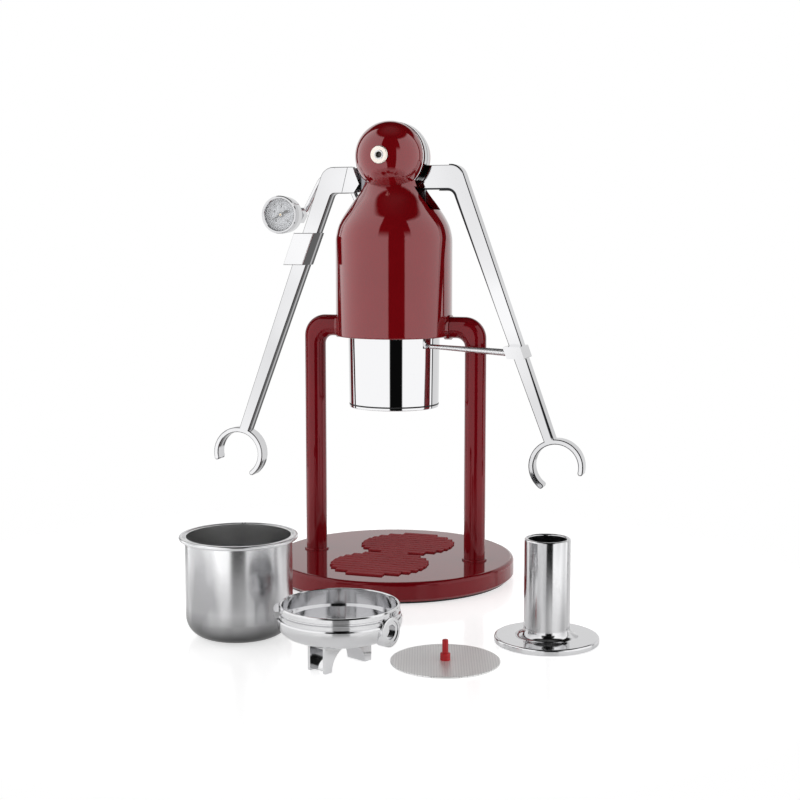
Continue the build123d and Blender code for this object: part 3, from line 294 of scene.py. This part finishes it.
def lever_chrome(name, painted_edge_share, far):
    """Polished lever metal: slow clouds of tone along its length, painted dark reflections on the
    rounded edges and a painted dark reflection on the underside, which has a painted pale
    highlight stripe on the left arm."""
    mat, tree, bsdf = fresh(name, {"Metallic": 1.0})
    share = remap(tree, noise(tree, coords(tree), 14.0, 1.0), 0.35, 0.65)
    face = mixed(tree, share, cool(0.60), cool(0.76))
    facing = split(tree, place(tree, "Normal"))
    forward = maths(tree, "ABSOLUTE", facing["Y"])
    # Painted dark reflections on the rounded edges, found by their normals
    edge_in = remap(tree, forward, *EDGE_FIRST_NORMALS)
    edge_out = fall(tree, forward, *EDGE_LAST_NORMALS)
    edge = product(tree, edge_in, edge_out, painted_edge_share)
    # The right lever also gets painted dark lines of reflection and shade
    if far:
        edge = largest(tree, edge, far_lines(tree, place(tree), forward))
    tint = mixed(tree, edge, face, (0.02, 0.02, 0.022, 1))
    # Painted highlight: a pale stripe across the underside of the left arm
    depth = maths(tree, "ADD", split(tree, place(tree))["Y"], STRIPE_DEPTH)
    stripe = fall(tree, maths(tree, "ABSOLUTE", depth), *STRIPE_HALF)
    under = mixed(tree, stripe, (0.008, 0.008, 0.009, 1), cool(0.42))
    # Painted dark reflection on faces that look down, around the painted stripe
    below = fall(tree, facing["Z"], *DOWN_NORMALS)
    below = product(tree, below, fall(tree, forward, *SIDE_NORMALS))
    tree.links.new(mixed(tree, below, tint, under), bsdf.inputs["Base Color"])
    gloss(tree, bsdf, noise(tree, coords(tree), 60.0), 0.03, 0.07)
    return mat


def lathe_grain(tree, bsdf, low, high):
    """Fine grain round a turned or spun piece."""
    fine = noise(tree, coords(tree, (1, 1, 14)), 420.0)
    gloss(tree, bsdf, fine, low, high)
    bump(tree, bsdf, fine, 0.006)


# Heights and radii of the basket's painted light in metres: painted shade darkens its foot over
# a span, and the painted light of its inside starts at a radius and above its floor
FOOT_SPAN = (0.004, 0.019)
INSIDE_SPAN = (0.0308, 0.0311)
FLOOR_SPAN = (0.0125, 0.0135)


def satin_clouds():
    """Satin spun steel with tall soft clouds of tone painted in as blurred reflections round the
    cup, painted shade on its foot and painted light on its inside.
    """
    mat, tree, bsdf = fresh("satin_steel", {"Metallic": 1.0})
    # Painted reflections: tall soft clouds of tone round the cup
    tall = noise(tree, coords(tree, (1, 1, 0.35)), 42.0, 2.0, 0.45)
    tint = mixed(tree, remap(tree, tall, 0.40, 0.62), cool(0.42), cool(0.84))
    height = split(tree, place(tree))["Z"]
    # Painted shade: the foot darkens towards the bottom
    tint = mixed(tree, fall(tree, height, *FOOT_SPAN), tint, (0.12, 0.12, 0.12, 1))
    # Painted light: the inside of the cup above its floor is made pale
    radius = axis_distance(tree, (BASKET_X * MM, BASKET_Y * MM, 0), (1, 1, 0))
    inside = product(tree, fall(tree, radius, *INSIDE_SPAN), remap(tree, height, *FLOOR_SPAN))
    tree.links.new(mixed(tree, inside, tint, (0.97, 0.97, 0.97, 1)), bsdf.inputs["Base Color"])
    lathe_grain(tree, bsdf, 0.17, 0.23)
    return mat


def turned_bands():
    """Turned steel with tall soft bands of tone painted in as blurred reflections, and a fine
    lathe grain.
    """
    mat, tree, bsdf = fresh("turned_steel_painted_bands", {"Metallic": 1.0})
    # Painted reflections: tall soft bands of tone
    tall = noise(tree, coords(tree, (1, 1, 0.08)), 150.0, 1.0, 0.4)
    tint = mixed(tree, remap(tree, tall, 0.38, 0.60), cool(0.46), cool(0.74))
    tree.links.new(tint, bsdf.inputs["Base Color"])
    lathe_grain(tree, bsdf, 0.115, 0.15)
    return mat


SCREEN_PITCH = 0.0021
SCREEN_TURN = math.radians(28)


def pierced_steel():
    """Bright sheet with fine rows of holes that cross on the slant."""
    mat, tree, bsdf = fresh("pierced_steel", {"Metallic": 0.5, "Roughness": 0.42})
    where = split(tree, coords(tree, turn=SCREEN_TURN))
    waves = [maths(tree, "MULTIPLY", where[axis], 2 * math.pi / SCREEN_PITCH) for axis in "XY"]
    rows = [maths(tree, "SINE", wave) for wave in waves]
    dots = remap(tree, product(tree, *rows), 0.25, 0.55, 0.0, 0.75)
    tint = mixed(tree, dots, (1.0, 1.0, 0.99, 1), (0.70, 0.70, 0.70, 1))
    tree.links.new(tint, bsdf.inputs["Base Color"])
    bump(tree, bsdf, dots, 0.03)
    return mat


# Radius in metres at which the painted shade in the socket of a pivot bolt ends
SOCKET_SPAN = (0.00195, 0.00215)


def bolt_face():
    """Pale nickel bolt with painted shade in a round socket about the pivot axis."""
    mat, tree, bsdf = fresh("pale_bolt", {"Metallic": 0.6})
    radius = axis_distance(tree, (0, 0, HEAD_Z * MM), (1, 0, 1))
    # Painted shade: the socket about the pivot axis is darkened
    inside = fall(tree, radius, *SOCKET_SPAN)
    tint = mixed(tree, inside, (0.93, 0.86, 0.77, 1), (0.05, 0.045, 0.04, 1))
    tree.links.new(tint, bsdf.inputs["Base Color"])
    gloss(tree, bsdf, noise(tree, place(tree), 500.0), 0.18, 0.30)
    return mat


def glass():
    """Thin flat pane: clear with a faint gloss."""
    mat, tree, bsdf = fresh("clear_glass")
    tree.nodes.remove(bsdf)
    clear = add(tree, "ShaderNodeBsdfTransparent")
    shine = add(tree, "ShaderNodeBsdfGlossy", {"Roughness": 0.03})
    mix = add(tree, "ShaderNodeMixShader", {"Fac": 0.10, 1: clear.outputs[0], 2: shine.outputs[0]})
    tree.links.new(mix.outputs[0], surface(tree))
    return mat


RED = red_enamel("red_enamel", 1.75, 1.0, (0.185, 0.0028, 0.0050, 1), (0.21, 0.0034, 0.0062, 1))
RED_LOW = red_enamel(
    "red_frame", 1.52, 0.15, (0.17, 0.0026, 0.0058, 1), (0.195, 0.0034, 0.0072, 1)
)
CHROME = steel("mirror_chrome", cool(0.74), (0.015, 0.04), 60.0, (1, 1, 1), 0.0)
# Lever materials paint dark reflections on edges and undersides; the far one also paints dark
# lines of reflection and shade
LEVER = lever_chrome("lever_chrome", 0.75, False)
LEVER_FAR = lever_chrome("lever_chrome_far", 1.0, True)
CLIP = lever_chrome("clip_chrome", 0.12, False)
SATIN_ROD = steel("satin_rod", cool(0.86), (0.26, 0.34), 90.0, (6, 1, 1), 0.01)
PIERCED = pierced_steel()
BEZEL = steel("bezel_steel", cool(0.60), (0.10, 0.16), 90.0, (1, 1, 1), 0.0)
POLISHED = steel("polished_steel", cool(0.70), (0.08, 0.13), 90.0, (1, 1, 6), 0.006)
TURNED_PAINTED_BANDS = turned_bands()
FOOT_STEEL = steel("foot_steel", cool(0.70), (0.10, 0.14), 500.0, (1, 1, 12), 0.006)
BASKET_STEEL_PAINTED_LIGHT = satin_clouds()
DARK_STEEL = steel("dark_steel", (0.28, 0.28, 0.30, 1), (0.28, 0.42), 70.0, (1, 1, 4), 0.05)
BRASS = steel("bright_brass", (0.72, 0.52, 0.24, 1), (0.2, 0.34), 70.0, (1, 1, 8), 0.05)
CREAM = bolt_face()
RUBBER = matt("black_rubber", (0.012, 0.012, 0.013, 1), 0.62)
RED_MAT = matt("red_mat", (0.34, 0.0080, 0.0150, 1), 0.66)
SIGNAL = matt("red_silicone", (0.56, 0.010, 0.016, 1), 0.38)
DIAL = plain("dial_face", (0.86, 0.88, 0.92, 1), 0.35)
HUB_WHITE = plain("hub_white", (0.9, 0.9, 0.9, 1), 0.3)
INK = plain("dial_ink", (0.03, 0.03, 0.035, 1), 0.5)
NEEDLE = plain("needle_black", (0.02, 0.02, 0.022, 1), 0.35)
GLASS = glass()

LOOKS = {
    RED: "body_casting",
    RED_LOW: "base_plate leg_left leg_right leg_collars",
    RED_MAT: "ribbed_mat",
    RUBBER: "foot_pad piston_seal",
    LEVER: "arm_left stay_collar",
    LEVER_FAR: "arm_right",
    CLIP: "arm_clip",
    SATIN_ROD: "stay_rod",
    BEZEL: "gauge_bezel",
    CHROME: "piston_shell gauge_case gauge_stem gauge_nut gauge_tube",
    POLISHED: "portafilter_body portafilter_floor portafilter_spout hub_washer spout_bush"
    " boss_insert piston_base piston_rod",
    CREAM: "eye_bolt rear_bolt",
    BASKET_STEEL_PAINTED_LIGHT: "basket",
    PIERCED: "screen_disc",
    TURNED_PAINTED_BANDS: "tamper_tube",
    FOOT_STEEL: "tamper_base",
    DARK_STEEL: "leg_screws guide_plate guide_circlip pivot_shaft gear_left gear_right"
    " rack_left rack_right rack_screws crossbar crossbar_screw piston_screw screen_rivet"
    " tube_fitting",
    BRASS: "guide_bush gauge_movement",
    DIAL: "gauge_dial",
    NEEDLE: "gauge_needle",
    GLASS: "gauge_lens",
    SIGNAL: "screen_stem",
}
for mat, names in LOOKS.items():
    for name in names.split():
        node = NODES[name]
        node.data.materials.clear()
        node.data.materials.append(mat)


# Small pieces on top of the solids, in millimetres
CIRCLE_STEPS = 48


def link(name, mesh):
    """A new object for a mesh."""
    obj = bpy.data.objects.new(name, mesh)
    bpy.context.scene.collection.objects.link(obj)
    return obj


def piece(name, verts, faces, mat, body, smooth=False):
    """A mesh from points in millimetres, riding on a body."""
    mesh = bpy.data.meshes.new(name)
    mesh.from_pydata([tuple(c * MM for c in v) for v in verts], [], faces)
    mesh.materials.append(mat)
    mesh.validate()
    mesh.update()
    if smooth:
        mesh.shade_smooth()
    obj = link(name, mesh)
    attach(obj, body)
    return obj


def prism(near, far):
    """Points and faces of a solid between two outlines, with the near end first."""
    count = len(near)
    faces = [tuple(range(count)), tuple(range(2 * count - 1, count - 1, -1))]
    for i in range(count):
        j = (i + 1) % count
        faces.append((i, i + count, j + count, j))
    return near + far, faces


def slab(outline, front, back):
    """Points and faces of a flat outline in X and Z between two depths."""
    return prism([(x, front, z) for x, z in outline], [(x, back, z) for x, z in outline])


def joined(parts):
    """Several point and face lists as one."""
    verts, faces = [], []
    for more_verts, more_faces in parts:
        start = len(verts)
        verts.extend(more_verts)
        faces.extend(tuple(i + start for i in face) for face in more_faces)
    return verts, faces


def turns(count):
    """Equal steps round a circle."""
    return [2 * math.pi * i / count for i in range(count)]


def disc(x, z, radius):
    """Outline of a circle in X and Z."""
    return [(x + radius * math.cos(a), z + radius * math.sin(a)) for a in turns(CIRCLE_STEPS)]


def net(rows, columns, loop_rows, loop_columns, flip=False):
    """Faces between the points of a grid, whose rows and columns may close on themselves."""
    faces = []
    for i in range(rows if loop_rows else rows - 1):
        here, there = i * columns, (i + 1) % rows * columns
        for k in range(columns if loop_columns else columns - 1):
            a, b = k, (k + 1) % columns
            face = (here + a, here + b, there + b, there + a)
            faces.append((face[0],) + face[:0:-1] if flip else face)
    return faces


# Stub of the left lever: full thickness from the face plate to the neck of the body. Its inner
# end follows the neck, as height over the axis and X
STUB_FRONT, STUB_BACK = -10.75, -5.25
STUB_LOW, STUB_TOP = HEAD_Z - 24.1, HEAD_Z - 6.5
STUB_ROUND = 0.7
STUB_ROUND_STEPS, STUB_FLAT_STEPS = 4, 12
STUB_OUT_X = -38.35
STUB_IN = [(-24.1, -25.6), (-20.0, -21.0), (-16.0, -21.5), (-12.0, -23.8), (-6.5, -25.8)]


def stub_inner(z):
    """X of the inner end of the stub at a height."""
    rel = z - HEAD_Z
    for (z0, x0), (z1, x1) in zip(STUB_IN, STUB_IN[1:]):
        if rel <= z1 + 1e-6:
            return x0 + (x1 - x0) * (rel - z0) / (z1 - z0)
    return STUB_IN[-1][1]


round_angles = [math.radians(90 * i / STUB_ROUND_STEPS) for i in range(STUB_ROUND_STEPS + 1)]
flat_low, flat_high = STUB_LOW + STUB_ROUND, STUB_TOP - STUB_ROUND
section = [(STUB_BACK, STUB_LOW)]
for angle in round_angles:
    y = STUB_FRONT + STUB_ROUND * (1 - math.sin(angle))
    section.append((y, STUB_LOW + STUB_ROUND * (1 - math.cos(angle))))
for step in range(1, STUB_FLAT_STEPS):
    section.append((STUB_FRONT, flat_low + step / STUB_FLAT_STEPS * (flat_high - flat_low)))
for angle in round_angles:
    y = STUB_FRONT + STUB_ROUND * (1 - math.cos(angle))
    section.append((y, flat_high + STUB_ROUND * math.sin(angle)))
section.append((STUB_BACK, STUB_TOP))
near = [(stub_inner(z), y, z) for y, z in section]
far = [(STUB_OUT_X, y, z) for y, z in section]
stub = piece("stub_left", *prism(near, far), LEVER, "left_lever")
stub.data.materials.append(SATIN_ROD)
stub.data.polygons[0].material_index = 1

# Thin seam across the stub, from its top to its bottom, a little proud of its front
SEAM_INSET, SEAM_HALF = 0.6, 0.16
SEAM_PROUD, SEAM_SUNK = 0.03, 0.2
SEAM_TOP = (-29.4, STUB_TOP - SEAM_INSET)
SEAM_LOW = (-33.4, STUB_LOW + SEAM_INSET)
seam_outline = [
    (SEAM_TOP[0] - SEAM_HALF, SEAM_TOP[1]),
    (SEAM_TOP[0] + SEAM_HALF, SEAM_TOP[1]),
    (SEAM_LOW[0] + SEAM_HALF, SEAM_LOW[1]),
    (SEAM_LOW[0] - SEAM_HALF, SEAM_LOW[1]),
]
seam = slab(seam_outline, STUB_FRONT - SEAM_PROUD, STUB_FRONT + SEAM_SUNK)
piece("stub_seam", *seam, INK, "left_lever")

# Dial: scale marks, plain numbers from 0 to 16, and a pale cap on the pointer. A mark has an
# inner radius and half a width, and every fourth one is long
SCALE_START, SCALE_SWEEP, SCALE_STEPS, STEPS_EACH_LONG = 225.0, 270.0, 32, 4
LONG_MARK, SHORT_MARK = (8.0, 0.17), (8.8, 0.09)
MARK_OUTER = 9.8
MARK_FRONT, MARK_BACK = DIAL_FRONT - 0.08, DIAL_FRONT + 0.02
PRINT_FRONT = DIAL_FRONT - 0.05
CIRCLE_RADII, CIRCLE_WIDTH = (7.4, 10.1), 0.12
NUMBER_LAST, NUMBER_STEP = 16, 4
NUMBER_RADIUS, NUMBER_SIZE, NUMBER_DEPTH = 5.7, 2.6, 0.03
CAP_R, CAP_FRONT, CAP_BACK = 1.25, 4.15, 4.5


def scale_direction(share):
    """Unit vector in X and Z to a share of the scale."""
    angle = math.radians(SCALE_START - SCALE_SWEEP * share)
    return math.cos(angle), math.sin(angle)


marks = []
for step in range(SCALE_STEPS + 1):
    inner, half = LONG_MARK if step % STEPS_EACH_LONG == 0 else SHORT_MARK
    out_x, out_z = scale_direction(step / SCALE_STEPS)
    corners = []
    for radius, side in ((inner, -half), (MARK_OUTER, -half), (MARK_OUTER, half), (inner, half)):
        x = GAUGE_X + radius * out_x - side * out_z
        corners.append((x, GAUGE_Z + radius * out_z + side * out_x))
    marks.append(slab(corners, MARK_FRONT, MARK_BACK))
for radius in CIRCLE_RADII:
    outer = disc(GAUGE_X, GAUGE_Z, radius)
    inner = disc(GAUGE_X, GAUGE_Z, radius - CIRCLE_WIDTH)
    verts = [(x, PRINT_FRONT, z) for x, z in outer + inner]
    marks.append((verts, net(2, len(outer), False, True)))
piece("dial_marks", *joined(marks), INK, "piston_group")


def number(value):
    """A plain number on the dial, made flat and facing the front."""
    name = "dial_number_%d" % value
    curve = bpy.data.curves.new(name, "FONT")
    curve.body = str(value)
    curve.size = NUMBER_SIZE * MM
    curve.align_x = "CENTER"
    curve.align_y = "CENTER"
    curve.extrude = NUMBER_DEPTH * MM
    holder = link(name + "_curve", curve)
    graph = bpy.context.evaluated_depsgraph_get()
    mesh = bpy.data.meshes.new_from_object(holder.evaluated_get(graph))
    bpy.data.objects.remove(holder)
    out_x, out_z = scale_direction(value / NUMBER_LAST)
    x, z = GAUGE_X + NUMBER_RADIUS * out_x, GAUGE_Z + NUMBER_RADIUS * out_z
    mesh.transform(Matrix.Rotation(math.radians(90), 4, "X"))
    mesh.transform(Matrix.Translation((x * MM, PRINT_FRONT * MM, z * MM)))
    mesh.materials.clear()
    mesh.materials.append(INK)
    obj = link(name, mesh)
    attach(obj, "piston_group")


for value in range(0, NUMBER_LAST + 1, NUMBER_STEP):
    number(value)

cap = slab(disc(GAUGE_X, GAUGE_Z, CAP_R), CAP_FRONT, CAP_BACK)
piece("pointer_cap", *cap, HUB_WHITE, "pointer")

# Bright bead along the outer edge of the front cheek, on the side of the slot, put there as a
# painted highlight of that edge
BEAD_R, BEAD_HALF, BEAD_Y = 23.3, 0.42, -9.35
BEAD_FIRST, BEAD_LAST = math.radians(-62), math.radians(72)
BEAD_STEPS, BEAD_SIDES = 60, 10
BEAD_TIP, BEAD_SWELL = 0.04, 0.5
verts = []
for i in range(BEAD_STEPS + 1):
    share = i / BEAD_STEPS
    angle = BEAD_FIRST + (BEAD_LAST - BEAD_FIRST) * share
    swell = math.sin(math.pi * (BEAD_TIP + (1 - 2 * BEAD_TIP) * share))
    half = BEAD_HALF * swell ** BEAD_SWELL
    for lean in turns(BEAD_SIDES):
        radius = BEAD_R + half * math.cos(lean)
        x, z = radius * math.cos(angle), HEAD_Z + radius * math.sin(angle)
        verts.append((x, BEAD_Y + half * math.sin(lean), z))
faces = net(BEAD_STEPS + 1, BEAD_SIDES, False, True)
faces.append(tuple(range(BEAD_SIDES - 1, -1, -1)))
faces.append(tuple(range(BEAD_STEPS * BEAD_SIDES, (BEAD_STEPS + 1) * BEAD_SIDES)))
piece("cheek_highlight_bead", verts, faces, SATIN_ROD, "stand", True)

# Rolled rim of the basket
ROLL_R, ROLL_HALF = 33.55, 1.25
ROLL_STEPS, ROLL_SIDES = 96, 14
verts = []
for angle in turns(ROLL_STEPS):
    for lean in turns(ROLL_SIDES):
        radius = ROLL_R + ROLL_HALF * math.cos(lean)
        x, y = BASKET_X + radius * math.cos(angle), BASKET_Y + radius * math.sin(angle)
        verts.append((x, y, BASKET_TOP - ROLL_HALF + ROLL_HALF * math.sin(lean)))
faces = net(ROLL_STEPS, ROLL_SIDES, True, True, flip=True)
piece("basket_rim", verts, faces, SATIN_ROD, "loose_basket", True)

# Ring round the socket of the eye bolt, as radius and depth from the bolt's front
EYE_FRONT = -31.9
RING_PROFILE = [(2.15, 0.02), (2.35, -0.10), (2.9, -0.10), (3.1, 0.02)]
RING_STEPS = 48
verts = []
for angle in turns(RING_STEPS):
    for radius, rise in RING_PROFILE:
        x, z = radius * math.cos(angle), HEAD_Z + radius * math.sin(angle)
        verts.append((x, EYE_FRONT + rise, z))
faces = net(RING_STEPS, len(RING_PROFILE), True, False)
piece("eye_ring", verts, faces, BEZEL, "stand", True)

# Floor: how much it shines for the camera and for all rays, and the radii where it fades out
FLOOR_HALF = 0.65
FLOOR_AT = (0, -0.08, -0.0002)
FLOOR_LIFT, FLOOR_GLOW = 0.31, 0.30
FLOOR_FADE = (0.21, 0.33)


def floor_material():
    """Pale floor with a faint gloss that fades out away from the press."""
    inputs = {
        "Base Color": (0.9, 0.9, 0.9, 1),
        "Roughness": 0.12,
        "Specular IOR Level": 0.35,
        "Emission Color": (1, 1, 1, 1),
    }
    mat, tree, bsdf = fresh("pale_floor", inputs)
    rays = add(tree, "ShaderNodeLightPath")
    lift = maths(tree, "MULTIPLY_ADD", rays.outputs["Is Camera Ray"], FLOOR_LIFT, FLOOR_GLOW)
    tree.links.new(lift, bsdf.inputs["Emission Strength"])
    flat = vectors(tree, "LENGTH", place(tree))
    gone = remap(tree, flat.outputs["Value"], *FLOOR_FADE)
    clear = add(tree, "ShaderNodeBsdfTransparent")
    mix = add(tree, "ShaderNodeMixShader", {"Fac": gone, 1: bsdf.outputs[0], 2: clear.outputs[0]})
    tree.links.new(mix.outputs[0], surface(tree))
    return mat


corners = [(x * FLOOR_HALF, y * FLOOR_HALF, 0) for x, y in ((-1, -1), (1, -1), (1, 1), (-1, 1))]
floor_mesh = bpy.data.meshes.new("floor")
floor_mesh.from_pydata(corners, [], [(0, 1, 2, 3)])
floor_mesh.materials.append(floor_material())
floor = link("floor", floor_mesh)
floor.location = FLOOR_AT

# Studio round the press in degrees. Turns are counted from the direction of the camera. Each
# soft wall has its first and last turn, its strength and the height where it ends. A dark flag
# has its first and last turn and the height where it starts. Gaps between walls are nearly
# dark, the ceiling is dim, and the camera itself sees white
CAMERA_TURN = 17.98
WALLS = [
    (-134.0, -11.0, 1.25, 59.0),
    (21.0, 112.0, 1.25, 52.0),
    (117.0, 212.0, 0.85, 34.0),
]
FLAG = (-32.0, 35.0, 21.0)
DIM = 0.004
CEILING, CEILING_SPAN = 0.10, (60.0, 85.0)
EDGE, WALL_BLUR, FLAG_BLUR = 1.5, 3.0, 8.0
WHITE = (1, 1, 1, 1)

world = bpy.data.worlds.new("studio")
bpy.context.scene.world = world
world.use_nodes = True
tree = world.node_tree
tree.nodes.clear()


def smooth_step(value, low, high):
    """0 below low, 1 above high and a soft edge between them."""
    return remap(tree, value, low, high, kind="SMOOTHSTEP")


spun = add(
    tree,
    "ShaderNodeVectorRotate",
    {"Angle": -math.radians(CAMERA_TURN), "Vector": place(tree, "Generated")},
    rotation_type="Z_AXIS",
)
ray = split(tree, spun.outputs["Vector"])
turn = maths(tree, "ARCTAN2", ray["X"], maths(tree, "MULTIPLY", ray["Y"], -1.0))
turn = maths(tree, "MULTIPLY", turn, 180.0 / math.pi)
height = maths(tree, "MULTIPLY", maths(tree, "ARCSINE", ray["Z"]), 180.0 / math.pi)


def between(first, last):
    """1 inside a span of turns, 0 outside it."""
    half = (last - first) / 2
    offset = maths(tree, "SUBTRACT", turn, (first + last) / 2)
    offset = maths(tree, "ABSOLUTE", maths(tree, "WRAP", offset, 180.0, -180.0))
    return maths(tree, "SUBTRACT", 1.0, smooth_step(offset, half - EDGE, half + EDGE))


level = maths(tree, "MULTIPLY_ADD", smooth_step(height, *CEILING_SPAN), CEILING - DIM, DIM)
above = smooth_step(height, FLAG[2] - FLAG_BLUR, FLAG[2] + FLAG_BLUR)
open_air = maths(tree, "SUBTRACT", 1.0, product(tree, between(*FLAG[:2]), above))
for first, last, strength, top in WALLS:
    below = maths(tree, "SUBTRACT", 1.0, smooth_step(height, top - WALL_BLUR, top + WALL_BLUR))
    share = product(tree, between(first, last), below, open_air)
    level = maths(tree, "MULTIPLY_ADD", share, strength - DIM, level)

room = add(tree, "ShaderNodeBackground", {"Color": WHITE, "Strength": level})
seen = add(tree, "ShaderNodeBackground", {"Color": WHITE, "Strength": 1.0})
is_camera = add(tree, "ShaderNodeLightPath").outputs["Is Camera Ray"]
pick = add(
    tree, "ShaderNodeMixShader", {"Fac": is_camera, 1: room.outputs[0], 2: seen.outputs[0]}
)
add(tree, "ShaderNodeOutputWorld", {"Surface": pick.outputs[0]})

# Camera that was fitted to the base circle, the legs and the round accessories
CAMERA_AT = (0.2979, -0.9049, 0.2351)
CAMERA_TILT = 83.21
lens = bpy.data.cameras.new("camera")
lens.sensor_width = 36.0
lens.lens = 63.06
lens.clip_start = 0.05
lens.clip_end = 50.0
camera = link("camera", lens)
camera.location = CAMERA_AT
camera.rotation_euler = (math.radians(CAMERA_TILT), 0, math.radians(CAMERA_TURN))
bpy.context.scene.camera = camera
bpy.context.scene.view_settings.view_transform = "Standard"
